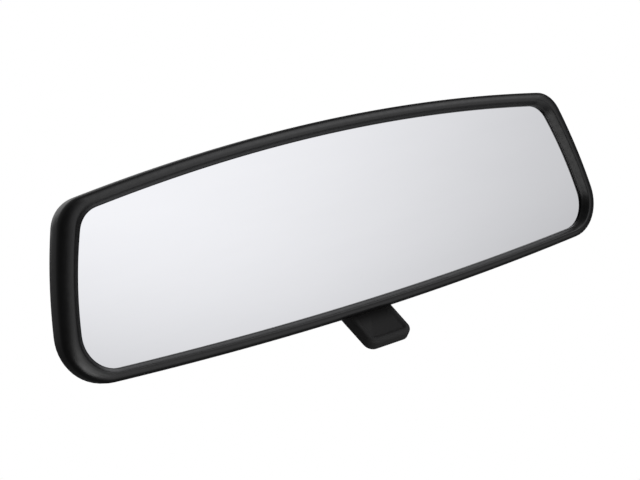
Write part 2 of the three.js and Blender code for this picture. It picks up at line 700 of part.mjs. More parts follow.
function armSpring() {
  const start = SEAT_LENGTH + GAP + SPRING.wire + 0.2;
  const path = new Helix(SPRING.coil, start, ARM_LENGTH - start, SPRING.turns);
  const wire = new THREE.Shape().absarc(0, 0, SPRING.wire, 0, Math.PI * 2);
  const settings = { steps: SPRING.turns * 12, extrudePath: path, curveSegments: 3, bevelEnabled: false };
  return named("arm_spring", new THREE.ExtrudeGeometry(wire, settings), STEEL);
}

// The arm group's +Y runs along the arm, from the head ball to the mount ball.
function armGroup() {
  const arm = new THREE.Group();
  arm.rotation.x = radians(ARM_RISE);
  const turned = (geometry) => geometry.rotateX(Math.PI).translate(0, ARM_LENGTH, 0);
  arm.add(
    named("front_ball_liner", ballLiner(), NYLON),
    named("front_ball_seat", ballSeat(), NYLON),
    armTube(),
    armSpring(),
    named("rear_ball_seat", turned(ballSeat()), NYLON),
    named("rear_ball_liner", turned(ballLiner()), NYLON),
  );
  return arm;
}

const washerAt = bossDistance + BOSS.front + GAP;

function mirrorBallStud() {
  const flangeAt = bossDistance - BOSS.back - GAP - STUD_FLANGE.thickness;
  const shankEnd = washerAt + WASHER.thickness + GAP + NUT.thickness + SHANK_END;
  return named("mirror_ball_stud", alongStud(ballStud(flangeAt, shankEnd)), STEEL);
}

function studWasher() {
  const ring = cutBy(
    solid(rodY(WASHER.radius, -washerAt - WASHER.thickness, -washerAt)),
    solid(rodY(SHANK + PIN_CLEARANCE, -washerAt - 5, -washerAt + 5)),
  );
  return named("stud_washer", alongStud(geometryOf(ring)), STEEL);
}

function studNut() {
  const near = washerAt + WASHER.thickness + GAP;
  const radius = NUT.across / Math.sqrt(3);
  const ring = cutBy(
    solid(rodY(radius, -near - NUT.thickness, -near, 6)),
    solid(rodY(SHANK + PIN_CLEARANCE, -near - 5, -near + 5)),
  );
  return named("stud_nut", alongStud(geometryOf(ring)), STEEL);
}

// ---------------------------------------------------------------- windscreen mount
// The mount group's +Z is the normal of the windscreen, with the bonded face at z = 0.

// An outline in X and Y, extruded from z0 to z1.
function extrudeZ(shape, z0, z1) {
  const settings = { depth: z1 - z0, bevelEnabled: false, curveSegments: 5 };
  return solid(new THREE.ExtrudeGeometry(shape, settings).translate(0, 0, z0));
}

function windscreenButton() {
  const shape = roundedRectangle(BUTTON.width, BUTTON.length, BUTTON.corner);
  return named("windscreen_button", extrudeZ(shape, -BUTTON.thickness, 0), ZINC);
}

// Moves a shape from the arm's frame about the mount ball into the mount group.
function fromBall(geometry) {
  return geometry
    .rotateX(radians(ARM_RISE))
    .translate(-BOND_FROM_BALL.x, -BOND_FROM_BALL.y, -BOND_FROM_BALL.z)
    .rotateX(radians(WINDSCREEN_RAKE));
}

const shoeTop = -BUTTON.thickness - GAP;
const shoeLow = shoeTop - SHOE.thickness;

function mountShoe() {
  const width = BUTTON.width + 2 * SHOE.side;
  const outline = roundedRectangle(width, BUTTON.length + 2 * SHOE.end, SHOE.corner);
  const body = extrudeZ(outline, shoeLow, -SHOE.recess);
  const pocket = extrudeZ(
    roundedRectangle(BUTTON.width + 2 * GAP, BUTTON.length + 2 * GAP, BUTTON.corner + GAP),
    shoeTop,
    1,
  );
  const reach = STUD_START + STUD_FLANGE.thickness + GAP;
  const boss = solid(fromBall(rodY(SHOE_BOSS, reach, reach + 20)));
  const trimmed = boss.intersect(block([-20, -40, shoeLow - 30], [20, 40, shoeLow + 1]));
  const shank = solid(fromBall(rodY(SHANK + PIN_CLEARANCE, reach - 2, reach + MOUNT_SHANK + 1)));
  const through = rodY(SET_SCREW.radius + GAP, -30, 30).rotateX(Math.PI / 2);
  const screw = solid(through.translate(0, -SET_SCREW.offset, 0));
  return named("mount_shoe", cutBy(body.add(trimmed), pocket, shank, screw), BLACK_STEEL);
}

function shoeSetScrew() {
  const along = (geometry) => solid(geometry.rotateX(Math.PI / 2).translate(0, -SET_SCREW.offset, 0));
  const length = SHOE.thickness - 0.4;
  const screw = along(rodY(SET_SCREW.radius, shoeTop - length, shoeTop));
  const mouth = shoeTop - length;
  const socket = along(rodY(SET_SCREW.hex / Math.sqrt(3), mouth - 1, mouth + SET_SCREW.socket, 6));
  return named("shoe_set_screw", cutBy(screw, socket), STEEL);
}

function mountBallStud() {
  const stud = ballStud(STUD_START, STUD_START + STUD_FLANGE.thickness + MOUNT_SHANK);
  return named("mount_ball_stud", fromBall(stud.rotateX(Math.PI)), STEEL);
}

function mountGroup() {
  const mount = new THREE.Group();
  mount.rotation.x = -radians(WINDSCREEN_RAKE);
  mount.add(windscreenButton(), mountShoe(), shoeSetScrew(), mountBallStud());
  return mount;
}

// ---------------------------------------------------------------- assembly

function headGroup() {
  const head = new THREE.Group();
  head.add(
    frontBezel(),
    rearHousing(),
    mirrorGlass(),
    silverBacking(),
    foamPad(),
    leverPin(),
    dayNightLever(),
    toggleBracket(),
    bracketHingePin(),
    hingeClip("hinge_clip_left", -1),
    hingeClip("hinge_clip_right", 1),
    bracketBumper("bracket_bumper_left", -1),
    bracketBumper("bracket_bumper_right", 1),
    mirrorBallStud(),
    studWasher(),
    studNut(),
  );
  return head;
}

function rearviewMirror() {
  const rise = radians(ARM_RISE);
  const armVector = new THREE.Vector3(0, Math.cos(rise), Math.sin(rise)).multiplyScalar(ARM_LENGTH);
  const headBall = BOND_FROM_BALL.clone().add(armVector).negate();
  const arm = armGroup();
  arm.position.copy(headBall);
  const head = headGroup();
  head.position.copy(headBall).sub(HEAD_BALL);
  const mirror = new THREE.Group();
  mirror.add(mountGroup(), arm, head);
  return mirror;
}

export default rearviewMirror();
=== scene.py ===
"""Looks of an interior rearview mirror with a day/night lever on a double ball arm.

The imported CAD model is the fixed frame. Sizes inside the classes are millimetres in the frame of
their own sub-assembly; every finished mesh is in metres in the frame of the CAD model.
"""

from __future__ import annotations

import json
import logging
import math
from dataclasses import dataclass
from enum import Enum
from typing import Sequence

import bmesh
import bpy
from bmesh.types import BMesh
from mathutils import Matrix, Vector


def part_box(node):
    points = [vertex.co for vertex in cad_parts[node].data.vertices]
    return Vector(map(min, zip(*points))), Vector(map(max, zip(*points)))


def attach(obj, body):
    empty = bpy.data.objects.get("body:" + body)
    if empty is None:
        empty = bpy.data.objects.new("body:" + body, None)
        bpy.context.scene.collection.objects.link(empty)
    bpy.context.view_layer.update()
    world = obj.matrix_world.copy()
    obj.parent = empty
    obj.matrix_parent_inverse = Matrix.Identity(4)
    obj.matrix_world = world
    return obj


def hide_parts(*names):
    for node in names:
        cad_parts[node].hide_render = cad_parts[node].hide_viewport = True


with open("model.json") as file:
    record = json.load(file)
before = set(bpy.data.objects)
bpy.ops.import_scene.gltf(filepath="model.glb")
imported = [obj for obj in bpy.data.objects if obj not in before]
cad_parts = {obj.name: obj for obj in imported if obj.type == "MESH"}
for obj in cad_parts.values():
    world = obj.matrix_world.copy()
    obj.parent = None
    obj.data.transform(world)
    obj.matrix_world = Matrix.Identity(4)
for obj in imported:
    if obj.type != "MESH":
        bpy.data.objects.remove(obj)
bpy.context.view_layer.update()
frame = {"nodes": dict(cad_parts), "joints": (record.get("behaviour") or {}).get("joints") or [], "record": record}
MM = 0.001
TURN_STEPS = 96  # steps of a full turn
X_AXIS = Vector((1, 0, 0))
Y_AXIS = Vector((0, 1, 0))
Z_AXIS = Vector((0, 0, 1))
log = logging.getLogger("rearview_mirror")


# ---------------------------------------------------------------- small helpers


def mix(a: float, b: float, share: float) -> float:
    """The value at a share of the way from a to b."""
    return a + (b - a) * share


def turn_x(degrees: float) -> Matrix:
    """A turn about X."""
    return Matrix.Rotation(math.radians(degrees), 4, "X")


def shift(x: float = 0.0, y: float = 0.0, z: float = 0.0) -> Matrix:
    """A move along the axes."""
    return Matrix.Translation((x, y, z))


ALONG_X = Matrix.Rotation(-math.pi / 2, 4, "Z")  # turns a piece made along Y to lie along X
ALONG_Z = Matrix.Rotation(math.pi / 2, 4, "X")  # turns a piece made along Y to lie along Z


def joint_place(name: str) -> Vector:
    """The place of a joint.

    Args:
        name: The joint's name in the record.

    Returns:
        Its place in the CAD frame, in metres.
    """
    return next(Vector(j["pos_m"]) for j in frame["joints"] if j["name"] == name)


# ---------------------------------------------------------------- mesh work


class Operation(Enum):
    """How one solid acts on another."""

    JOIN = "UNION"
    CUT = "DIFFERENCE"
    KEEP_COMMON = "INTERSECT"


def combined(body: BMesh, tool: BMesh, operation: Operation) -> BMesh:
    """Joins, cuts or trims one solid by another.

    Args:
        body: The solid that is changed; it is used up.
        tool: The solid that acts on it; it is used up.
        operation: What is done.

    Returns:
        The result as a new bmesh.
    """
    objects = []
    for mesh_work in (body, tool):
        mesh = bpy.data.meshes.new("work")
        mesh_work.to_mesh(mesh)
        mesh_work.free()
        objects.append(bpy.data.objects.new("work", mesh))
        bpy.context.scene.collection.objects.link(objects[-1])
    modifier = objects[0].modifiers.new("work", "BOOLEAN")
    modifier.operation = operation.value
    modifier.object = objects[1]
    modifier.solver = "MANIFOLD"
    graph = bpy.context.evaluated_depsgraph_get()
    result = bmesh.new()
    result.from_mesh(objects[0].evaluated_get(graph).to_mesh())
    for worked in objects:
        mesh = worked.data
        bpy.data.objects.remove(worked)
        bpy.data.meshes.remove(mesh)
    return result


def moved(bm: BMesh, place: Matrix) -> BMesh:
    """Applies a placement to a solid and returns it."""
    bmesh.ops.transform(bm, matrix=place, verts=bm.verts)
    return bm


def softened(bm: BMesh, edges: Sequence[bmesh.types.BMEdge], radius: float, segments: int = 4) -> BMesh:
    """Rounds edges of a solid.

    Args:
        bm: The solid.
        edges: The edges to round.
        radius: Radius of the rounding.
        segments: Steps across it.

    Returns:
        The same solid.
    """
    bmesh.ops.bevel(
        bm, geom=list(edges), offset=radius, offset_type="OFFSET", segments=segments, profile=0.5,
        affect="EDGES", clamp_overlap=True, material=-1,
    )
    return bm


def sharp_edges(bm: BMesh, degrees: float = 40.0) -> list[bmesh.types.BMEdge]:
    """The edges at which a solid turns by more than an angle."""
    limit = math.radians(degrees)
    return [e for e in bm.edges if len(e.link_faces) == 2 and e.calc_face_angle(0.0) > limit]


def edges_along(bm: BMesh, axis: Vector) -> list[bmesh.types.BMEdge]:
    """The edges of a solid that run along an axis."""
    def runs(edge: bmesh.types.BMEdge) -> bool:
        line = edge.verts[1].co - edge.verts[0].co
        return abs(line.normalized().dot(axis)) > 0.999

    return [e for e in bm.edges if runs(e)]


def block(low: Sequence[float], high: Sequence[float]) -> BMesh:
    """A box between two corners, as the start of a piece or as a cutter."""
    bm = bmesh.new()
    size = Vector(high) - Vector(low)
    place = Matrix.Translation((Vector(low) + Vector(high)) / 2) @ Matrix.Diagonal((*size, 1))
    bmesh.ops.create_cube(bm, size=1.0, matrix=place)
    return bm


def plate(size: Vector, middle: Vector, axis: Vector, corner: float, edge: float) -> BMesh:
    """A plate with round corners about one axis and softened rims.

    Args:
        size: Its three sides.
        middle: Its centre.
        axis: The direction of its thickness.
        corner: Radius of the four corners.
        edge: Radius of the rims.

    Returns:
        The plate.
    """
    bm = block(middle - size / 2, middle + size / 2)
    softened(bm, edges_along(bm, axis), corner, 8)
    return softened(bm, sharp_edges(bm, 60), edge, 3)


@dataclass(frozen=True)
class Corner:
    """A corner of a turned profile: radius from the axis, place along it, and rounding."""

    radius: float
    along: float
    rounding: float = 0.0


def arc(radius: float, start: float, end: float, steps: int) -> list[Corner]:
    """Corners on an arc about the origin of a profile, between two bearings in degrees."""
    bearings = [math.radians(mix(start, end, i / steps)) for i in range(steps + 1)]
    return [Corner(max(radius * math.cos(a), 0.0), radius * math.sin(a)) for a in bearings]


def turned(corners: Sequence[Corner], closed: bool = False, steps: int = TURN_STEPS) -> BMesh:
    """A solid turned about Y from a profile.

    Args:
        corners: The profile, which starts and ends on the axis unless it is closed.
        closed: True if the last corner joins the first.
        steps: Steps of the full turn.

    Returns:
        The solid.
    """
    bm = bmesh.new()
    verts = [bm.verts.new((c.radius, c.along, 0)) for c in corners]
    for a, b in zip(verts, verts[1:]):
        bm.edges.new((a, b))
    if closed:
        bm.edges.new((verts[-1], verts[0]))
    for rounding in sorted({c.rounding for c in corners if c.rounding}):
        chosen = [v for v, c in zip(verts, corners) if c.rounding == rounding]
        bmesh.ops.bevel(
            bm, geom=chosen, offset=rounding, offset_type="OFFSET", segments=5, profile=0.5,
            affect="VERTICES", clamp_overlap=True, material=-1,
        )
    geometry = [*bm.verts, *bm.edges]
    bmesh.ops.spin(
        bm, geom=geometry, cent=(0, 0, 0), axis=Y_AXIS, angle=2 * math.pi, steps=steps, use_merge=True,
    )
    bmesh.ops.remove_doubles(bm, verts=bm.verts, dist=1e-4)
    bmesh.ops.recalc_face_normals(bm, faces=bm.faces)
    return bm


def rod(radius: float, start: float, end: float, rounding: float = 0.0, steps: int = TURN_STEPS) -> BMesh:
    """A pin along Y with rounded ends, or with sharp ones as a cutter for a round hole."""
    rim = [Corner(radius, start, rounding), Corner(radius, end, rounding)]
    return turned([Corner(0, start), *rim, Corner(0, end)], steps=steps)


def hexagon(across: float, start: float, end: float) -> BMesh:
    """A six sided bar along Y; `across` is the width over its flats."""
    return rod(across / math.sqrt(3), start, end, steps=6)


def loft(rings: Sequence[Sequence[Vector]], closed: bool = False) -> BMesh:
    """A solid through rings of points, extruded from one ring to the next.

    Args:
        rings: Rings with the same number of points, in the same order.
        closed: True if the last ring joins the first; otherwise both ends are filled.

    Returns:
        The solid.
    """
    bm = bmesh.new()
    verts = [bm.verts.new(point) for point in rings[0]]
    edges = [bm.edges.new(pair) for pair in zip(verts, verts[1:] + verts[:1])]
    start = list(edges)
    for ring in [*rings[1:], *(rings[:1] if closed else [])]:
        made = bmesh.ops.extrude_edge_only(bm, edges=edges)["geom"]
        fresh = {part for part in made if isinstance(part, bmesh.types.BMVert)}
        edges = [e for e in made if isinstance(e, bmesh.types.BMEdge) and fresh.issuperset(e.verts)]
        verts = [next(e.other_vert(v) for e in v.link_edges if e.other_vert(v) in fresh) for v in verts]
        for vert, point in zip(verts, ring):
            vert.co = point
    if closed:
        bmesh.ops.remove_doubles(bm, verts=bm.verts, dist=1e-5)
    else:
        for end in (start, edges):
            bmesh.ops.edgeloop_fill(bm, edges=end)
    bmesh.ops.recalc_face_normals(bm, faces=bm.faces)
    return bm


# ---------------------------------------------------------------- finishes


class Graph:
    """The nodes of one material, built one after another."""

    def __init__(self, name: str) -> None:
        """Starts a material with a principled surface and coordinates in millimetres."""
        self.material = bpy.data.materials.new(name)
        self.material.use_nodes = True
        self.tree = self.material.node_tree
        self.surface = self.tree.nodes["Principled BSDF"]
        place = self.tree.nodes.new("ShaderNodeTexCoord")
        self.place = place.outputs["Object"]
        self.place = self.stretched((1 / MM, 1 / MM, 1 / MM))

    def add(self, kind: str, inputs: dict[str, object], **settings: object) -> bpy.types.Node:
        """Adds a node.

        Args:
            kind: The type of the node.
            inputs: Values or sockets for its inputs, by name.
            **settings: Its own properties.

        Returns:
            The node.
        """
        node = self.tree.nodes.new(kind)
        for key, value in settings.items():
            setattr(node, key, value)
        self.feed(node, inputs)
        return node

    def feed(self, node: bpy.types.Node, inputs: dict[str, object]) -> None:
        """Sets or links the inputs of a node."""
        for key, value in inputs.items():
            if isinstance(value, bpy.types.NodeSocket):
                self.tree.links.new(value, node.inputs[key])
            else:
                node.inputs[key].default_value = value

    def stretched(self, stretch: Sequence[float]) -> bpy.types.NodeSocket:
        """The coordinates, scaled again along each axis."""
        inputs = {"Vector": self.place, "Scale": tuple(stretch)}
        return self.add("ShaderNodeMapping", inputs).outputs["Vector"]

    def noise(self, per_mm: float, detail: float = 3.0,
              where: bpy.types.NodeSocket | None = None) -> bpy.types.NodeSocket:
        """A cloudy pattern.

        Args:
            per_mm: Features in a millimetre.
            detail: Finer layers.
            where: Coordinates, if not the plain ones.

        Returns:
            Its value, about 0.5 on average.
        """
        settings = {"Vector": where or self.place, "Scale": per_mm, "Detail": detail, "Roughness": 0.55}
        return self.add("ShaderNodeTexNoise", settings).outputs["Fac"]

    def cells(self, per_mm: float) -> bpy.types.NodeSocket:
        """Distance to the nearest of a field of scattered points."""
        return self.add("ShaderNodeTexVoronoi", {"Vector": self.place, "Scale": per_mm}).outputs["Distance"]

    def spread(self, value: bpy.types.NodeSocket, low: float, high: float, start: float = 0.3,
               end: float = 0.7) -> bpy.types.NodeSocket:
        """A pattern between two values.

        Args:
            value: The pattern.
            low: Result at `start`.
            high: Result at `end`.
            start: Pattern value that gives `low`.
            end: Pattern value that gives `high`.

        Returns:
            The spread value.
        """
        inputs = {"Value": value, "From Min": start, "From Max": end, "To Min": low, "To Max": high}
        return self.add("ShaderNodeMapRange", inputs).outputs["Result"]

    def tint(self, share: bpy.types.NodeSocket, low: Sequence[float],
             high: Sequence[float]) -> bpy.types.NodeSocket:
        """A colour between two, by a pattern."""
        ramp = self.add("ShaderNodeValToRGB", {"Fac": share})
        ramp.color_ramp.elements[0].color = (*low, 1)
        ramp.color_ramp.elements[1].color = (*high, 1)
        return ramp.outputs["Color"]

    def bump(self, height: bpy.types.NodeSocket, millimetres: float,
             under: bpy.types.NodeSocket | None = None) -> bpy.types.NodeSocket:
        """Relief from a pattern.

        Args:
            height: The pattern.
            millimetres: Its height.
            under: Relief that it lies on.

        Returns:
            The normal.
        """
        inputs: dict[str, object] = {"Height": height, "Distance": millimetres * MM, "Strength": 1.0}
        if under is not None:
            inputs["Normal"] = under
        return self.add("ShaderNodeBump", inputs).outputs["Normal"]


@dataclass(frozen=True)
class Finish:
    """What all finishes share: a name, a colour and a gloss."""

    name: str
    colour: tuple[float, float, float]
    roughness: float

    def shades(self, spread: float) -> tuple[list[float], list[float]]:
        """The colour, darker and lighter by a share."""
        return [c * (1 - spread) for c in self.colour], [min(c * (1 + spread), 1.0) for c in self.colour]

    def dress(self, graph: Graph) -> None:
        """Adds the pattern of this finish to a started material."""
        raise NotImplementedError

    def material(self) -> bpy.types.Material:
        """The material, made once."""
        return bpy.data.materials.get(self.name) or self.made()

    def made(self) -> bpy.types.Material:
        """Makes the material."""
        graph = Graph(self.name)
        graph.material.diffuse_color = (*self.colour, 1)
        self.dress(graph)
        return graph.material


@dataclass(frozen=True)
class MouldedPlastic(Finish):
    """Injection moulded plastic with a fine stipple from the tool."""

    grain_per_mm: float = 3.2
    grain_depth: float = 0.006
    specular: float = 0.5

    def dress(self, graph: Graph) -> None:
        """Stipple, cloudy gloss and faint flow marks."""
        stipple = graph.cells(self.grain_per_mm)
        flow = graph.noise(0.06, 2.0)
        cloud = graph.noise(0.5)
        low, high = self.shades(0.25)
        gloss = graph.spread(cloud, self.roughness - 0.04, self.roughness + 0.04)
        relief = graph.bump(stipple, self.grain_depth, graph.bump(flow, 0.02))
        graph.feed(graph.surface, {
            "Base Color": graph.tint(graph.spread(flow, 0, 1), low, high), "Roughness": gloss,
            "Normal": relief, "Specular IOR Level": self.specular, "IOR": 1.5,
        })


@dataclass(frozen=True)
class SilveredGlass(Finish):
    """A glass plate with silver behind it."""

    def dress(self, graph: Graph) -> None:
        """A clean reflection with the faintest wipe marks."""
        wipe = graph.noise(0.05, 4.0, graph.stretched((0.5, 1, 2.5)))
        low, high = self.shades(0.006)
        graph.feed(graph.surface, {
            "Base Color": graph.tint(graph.spread(wipe, 0, 1), low, high), "Metallic": 1.0,
            "Roughness": graph.spread(wipe, self.roughness, self.roughness + 0.012),
            "Coat Weight": 0.3, "Coat Roughness": 0.01, "Coat IOR": 1.52,
        })


@dataclass(frozen=True)
class CastMetal(Finish):
    """Die cast metal with a sandy skin."""

    def dress(self, graph: Graph) -> None:
        """Sandy relief with duller and brighter patches."""
        sand = graph.noise(4.0, 5.0)
        patch = graph.noise(0.25, 3.0)
        low, high = self.shades(0.2)
        graph.feed(graph.surface, {
            "Base Color": graph.tint(graph.spread(patch, 0, 1), low, high), "Metallic": 1.0,
            "Roughness": graph.spread(patch, self.roughness - 0.08, self.roughness + 0.1),
            "Normal": graph.bump(sand, 0.012),
        })


@dataclass(frozen=True)
class PlatedSteel(Finish):
    """Machined and plated steel with turning marks along one axis."""

    marks: tuple[float, float, float] = (0.15, 6.0, 0.15)

    def dress(self, graph: Graph) -> None:
        """Turning marks under a bright plate with a few dull spots."""
        lines = graph.noise(1.0, 3.0, graph.stretched(self.marks))
        spots = graph.noise(0.8, 2.0)
        low, high = self.shades(0.1)
        graph.feed(graph.surface, {
            "Base Color": graph.tint(graph.spread(spots, 0, 1), low, high), "Metallic": 1.0,
            "Roughness": graph.spread(lines, self.roughness - 0.05, self.roughness + 0.08),
            "Normal": graph.bump(lines, 0.003),
        })


@dataclass(frozen=True)
class CoatedSteel(Finish):
    """Steel under a satin powder coat."""

    def dress(self, graph: Graph) -> None:
        """The orange peel of a baked coat, with a cloudy gloss."""
        peel = graph.noise(0.9, 2.0)
        fine = graph.noise(5.0, 2.0)
        low, high = self.shades(0.2)
        graph.feed(graph.surface, {
            "Base Color": graph.tint(graph.spread(peel, 0, 1), low, high), "Metallic": 0.0,
            "Roughness": graph.spread(fine, self.roughness - 0.05, self.roughness + 0.06),
            "Normal": graph.bump(peel, 0.02, graph.bump(fine, 0.003)), "IOR": 1.5,
            "Coat Weight": 0.25, "Coat Roughness": 0.2,
        })


@dataclass(frozen=True)
class Nylon(Finish):
    """Natural nylon, slightly translucent."""

    def dress(self, graph: Graph) -> None:
        """A waxy skin with soft cloudiness."""
        cloud = graph.noise(0.3, 3.0)
        skin = graph.noise(3.0, 3.0)
        low, high = self.shades(0.05)
        graph.feed(graph.surface, {
            "Base Color": graph.tint(graph.spread(cloud, 0, 1), low, high),
            "Roughness": graph.spread(cloud, self.roughness - 0.05, self.roughness + 0.05),
            "Normal": graph.bump(skin, 0.006), "Subsurface Weight": 0.15, "Subsurface Scale": 0.002,
        })


@dataclass(frozen=True)
class Rubber(Finish):
    """Matt rubber with a dusty bloom."""

    def dress(self, graph: Graph) -> None:
        """Bloom and a fine skin."""
        bloom = graph.noise(0.4, 4.0)
        low, high = self.shades(0.5)
        graph.feed(graph.surface, {
            "Base Color": graph.tint(graph.spread(bloom, 0, 1), low, high),
            "Roughness": graph.spread(bloom, self.roughness - 0.06, self.roughness + 0.08),
            "Normal": graph.bump(graph.noise(3.0), 0.01),
        })


@dataclass(frozen=True)
class CellFoam(Finish):
    """Closed cell foam."""

    def dress(self, graph: Graph) -> None:
        """Open skin of cut cells, darker in their hollows as painted shade."""
        cells = graph.cells(1.6)
        low, high = self.shades(0.45)
        graph.feed(graph.surface, {
            # base colour darker towards the middle of each cell, where the bump is lowest: painted shade in the
            # cell hollows
            "Base Color": graph.tint(graph.spread(cells, 0, 1, 0.1, 0.6), low, high),
            "Roughness": self.roughness, "Normal": graph.bump(cells, 0.12),
            "Sheen Weight": 0.2, "Sheen Roughness": 0.5,
        })


HEAD_PLASTIC = MouldedPlastic("head_plastic", (0.0045, 0.0045, 0.0048), 0.34)
LEVER_PLASTIC = MouldedPlastic("lever_plastic", (0.0042, 0.0042, 0.0062), 0.3, 5.0, 0.003)
MIRROR = SilveredGlass("silvered_glass", (0.86, 0.865, 0.885), 0.008)
SILVERING = CastMetal("painted_silvering", (0.3, 0.31, 0.33), 0.4)
FOAM = CellFoam("cell_foam", (0.07, 0.07, 0.075), 0.95)
ZINC = CastMetal("cast_zinc", (0.28, 0.29, 0.3), 0.42)
STEEL = PlatedSteel("plated_steel", (0.5, 0.51, 0.52), 0.24)
BLACK_STEEL = CoatedSteel("coated_steel", (0.012, 0.012, 0.013), 0.36)
NYLON = Nylon("natural_nylon", (0.66, 0.62, 0.53), 0.45)
BUMPER_RUBBER = Rubber("bumper_rubber", (0.01, 0.01, 0.01), 0.8)


# ---------------------------------------------------------------- pieces


@dataclass(frozen=True)
class Home:
    """Where a sub-assembly lives: its frame and the body that its pieces ride on."""

    place: Matrix
    body: str

    def settle(self, name: str, bm: BMesh, finish: Finish, slot: str, nodes: Sequence[str],
               crease: float = 35.0) -> bpy.types.Object:
        """Turns a solid into a finished piece.

        Args:
            name: The name of the piece.
            bm: Its solid in millimetres, which is used up.
            finish: Its finish.
            slot: The record's material slot; not used.
            nodes: The CAD nodes that it stands for.
            crease: Edges sharper than this many degrees stay crisp.

        Returns:
            The object, at the origin, riding on its body.
        """
        scale = Matrix.Diagonal((MM, MM, MM, 1))
        moved(bm, self.place @ scale)
        mesh = bpy.data.meshes.new(name)
        bm.to_mesh(mesh)
        bm.free()
        mesh.shade_smooth()
        mesh.set_sharp_from_angle(angle=math.radians(crease))
        mesh.materials.append(finish.material())
        piece = bpy.data.objects.new(name, mesh)
        bpy.context.scene.collection.objects.link(piece)
        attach(piece, self.body)
        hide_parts(*nodes)
        log.info("%s: %d faces on %s", name, len(mesh.polygons), self.body)
        return piece


@dataclass(frozen=True)
class FaceOutline:
    """An arched outline with leaning sides and round corners. Widths are half widths."""

    top: float
    top_radius: float
    bottom: float
    bottom_radius: float
    side: float
    lean: float
    side_radius: float
    top_corner: float
    bottom_corner: float
    arch_steps: int = 30
    corner_steps: int = 14
    side_steps: int = 16

    @staticmethod
    def corner_centre(first: tuple[Vector, float], second: tuple[Vector, float], corner: float,
                      towards: Vector) -> Vector:
        """Centre of the circle that touches two larger circles from inside.

        Args:
            first: Centre and radius of one circle.
            second: Centre and radius of the other.
            corner: Radius of the circle that touches both.
            towards: Which of the two answers is meant.

        Returns:
            The centre.
        """
        reach = [first[1] - corner, second[1] - corner]
        between = second[0] - first[0]
        d = between.length
        along = (reach[0] ** 2 - reach[1] ** 2 + d * d) / (2 * d)
        across = math.sqrt(reach[0] ** 2 - along * along)
        unit = between / d
        foot = first[0] + unit * along
        side = Vector((-unit.y, unit.x))
        return max((foot + side * s for s in (across, -across)), key=lambda p: p.dot(towards))

    def points(self, grow: float = 0.0) -> list[Vector]:
        """Points round the outline.

        Args:
            grow: How far it is grown outwards.

        Returns:
            Points in X and Z, in the same order for every growth.
        """
        lean = math.radians(self.lean)
        top = (Vector((0, self.top - self.top_radius)), self.top_radius)
        low = (Vector((0, self.bottom_radius - self.bottom)), self.bottom_radius)
        middle = Vector((self.side, 0)) - Vector((math.cos(lean), math.sin(lean))) * self.side_radius
        side = (middle, self.side_radius)
        upper = self.corner_centre(top, side, self.top_corner, Vector((1, 0.3)))
        lower = self.corner_centre(low, side, self.bottom_corner, Vector((1, -0.3)))

        def bearing(start: Vector, end: Vector) -> float:
            return math.atan2(end.y - start.y, end.x - start.x)

        turns = [
            (top[0], top[1], math.pi / 2, bearing(top[0], upper), self.arch_steps),
            (upper, self.top_corner, bearing(top[0], upper), bearing(side[0], upper), self.corner_steps),
            (side[0], side[1], bearing(side[0], upper), bearing(side[0], lower), self.side_steps),
            (lower, self.bottom_corner, bearing(side[0], lower), bearing(low[0], lower), self.corner_steps),
            (low[0], low[1], bearing(low[0], lower), -math.pi / 2, self.arch_steps),
        ]
        right = []
        for centre, radius, start, end, steps in turns:
            for i in range(steps):
                a = mix(start, end, i / steps)
                right.append(centre + Vector((math.cos(a), math.sin(a))) * (radius + grow))
        right.append(Vector((0, -self.bottom - grow)))
        left = [Vector((-p.x, p.y)) for p in right[1:-1]]
        return right + left[::-1]


def ring_at(outline: Sequence[Vector], y: float) -> list[Vector]:
    """An outline as a ring at one depth."""
    return [Vector((p.x, y, p.y)) for p in outline]


GAP = 0.3  # between pieces that lie on each other
GLASS_OVERLAP = 2.0  # glass hidden behind the rim
HINGE = Vector((0, 15.5, 16))  # middle of the pin that the head tips on, from the middle of the glass
LEVER_PIN = Vector((0, 13, -27.3))  # middle of the pin that the lever swings on
LUG = 5.0  # thickness of each lug that holds a pin
# shares of the way from the joint to the middle of the back, closer together at both ends
BACK_STATIONS = (
    0, 0.03, 0.07, 0.12, 0.18, 0.25, 0.33, 0.41, 0.49,
    0.57, 0.65, 0.72, 0.79, 0.85, 0.9, 0.94, 0.97, 0.99,
)
OPENING = FaceOutline(30.7, 780, 30.6, 1880, 114.8, 13.7, 143, 9.5, 11.5)
HEAD = FaceOutline(35.9, 800, 35.1, 1760, 122.4, 12.4, 190, 12, 16)


@dataclass(frozen=True)
class HeadForm:
    """The outside of the head behind its widest line: a full, rounded back."""

    widest: float = 0.1  # depth of the widest line
    depth: float = 24.5
    end_depth: float = 20.5
    power: float = 3.05

    def point(self, edge: Vector, angle: float, inset: float) -> Vector:
        """A point on the back.

        Args:
            edge: Point of the widest outline, in X and Z.
            angle: 0 at the widest line, 90 degrees at the middle of the back, in radians.
            inset: Distance inside the outer skin.

        Returns:
            The point.
        """
        scale = max(math.cos(angle), 0.0) ** (2 / self.power)
        rise = math.sin(angle) ** (2 / self.power)
        x = edge.x * scale
        deepest = mix(self.depth, self.end_depth, (x / HEAD.side) ** 2) - inset
        return Vector((x, mix(self.widest, deepest, rise), edge.y * scale))

    def angle_at(self, edge: Vector, y: float, inset: float) -> float:
        """The angle at which the back reaches a depth, by halving."""
        low, high = 0.0, math.pi / 2
        for _ in range(24):
            middle = (low + high) / 2
            low, high = (middle, high) if self.point(edge, middle, inset).y < y else (low, middle)
        return (low + high) / 2

    def rings(self, start: float, stations: Sequence[float], inset: float = 0.0) -> list[list[Vector]]:
        """Rings from a depth to the middle of the back.

        Args:
            start: Depth of the first ring.
            stations: Shares of the way to the middle of the back.
            inset: Distance inside the outer skin.

        Returns:
            The rings.
        """
        edges = HEAD.points(-inset)
        first = [self.angle_at(edge, start, inset) for edge in edges]
        rings = []
        for share in stations:
            angles = [mix(angle, math.pi / 2, share) for angle in first]
            rings.append([self.point(edge, angle, inset) for edge, angle in zip(edges, angles)])
        return rings


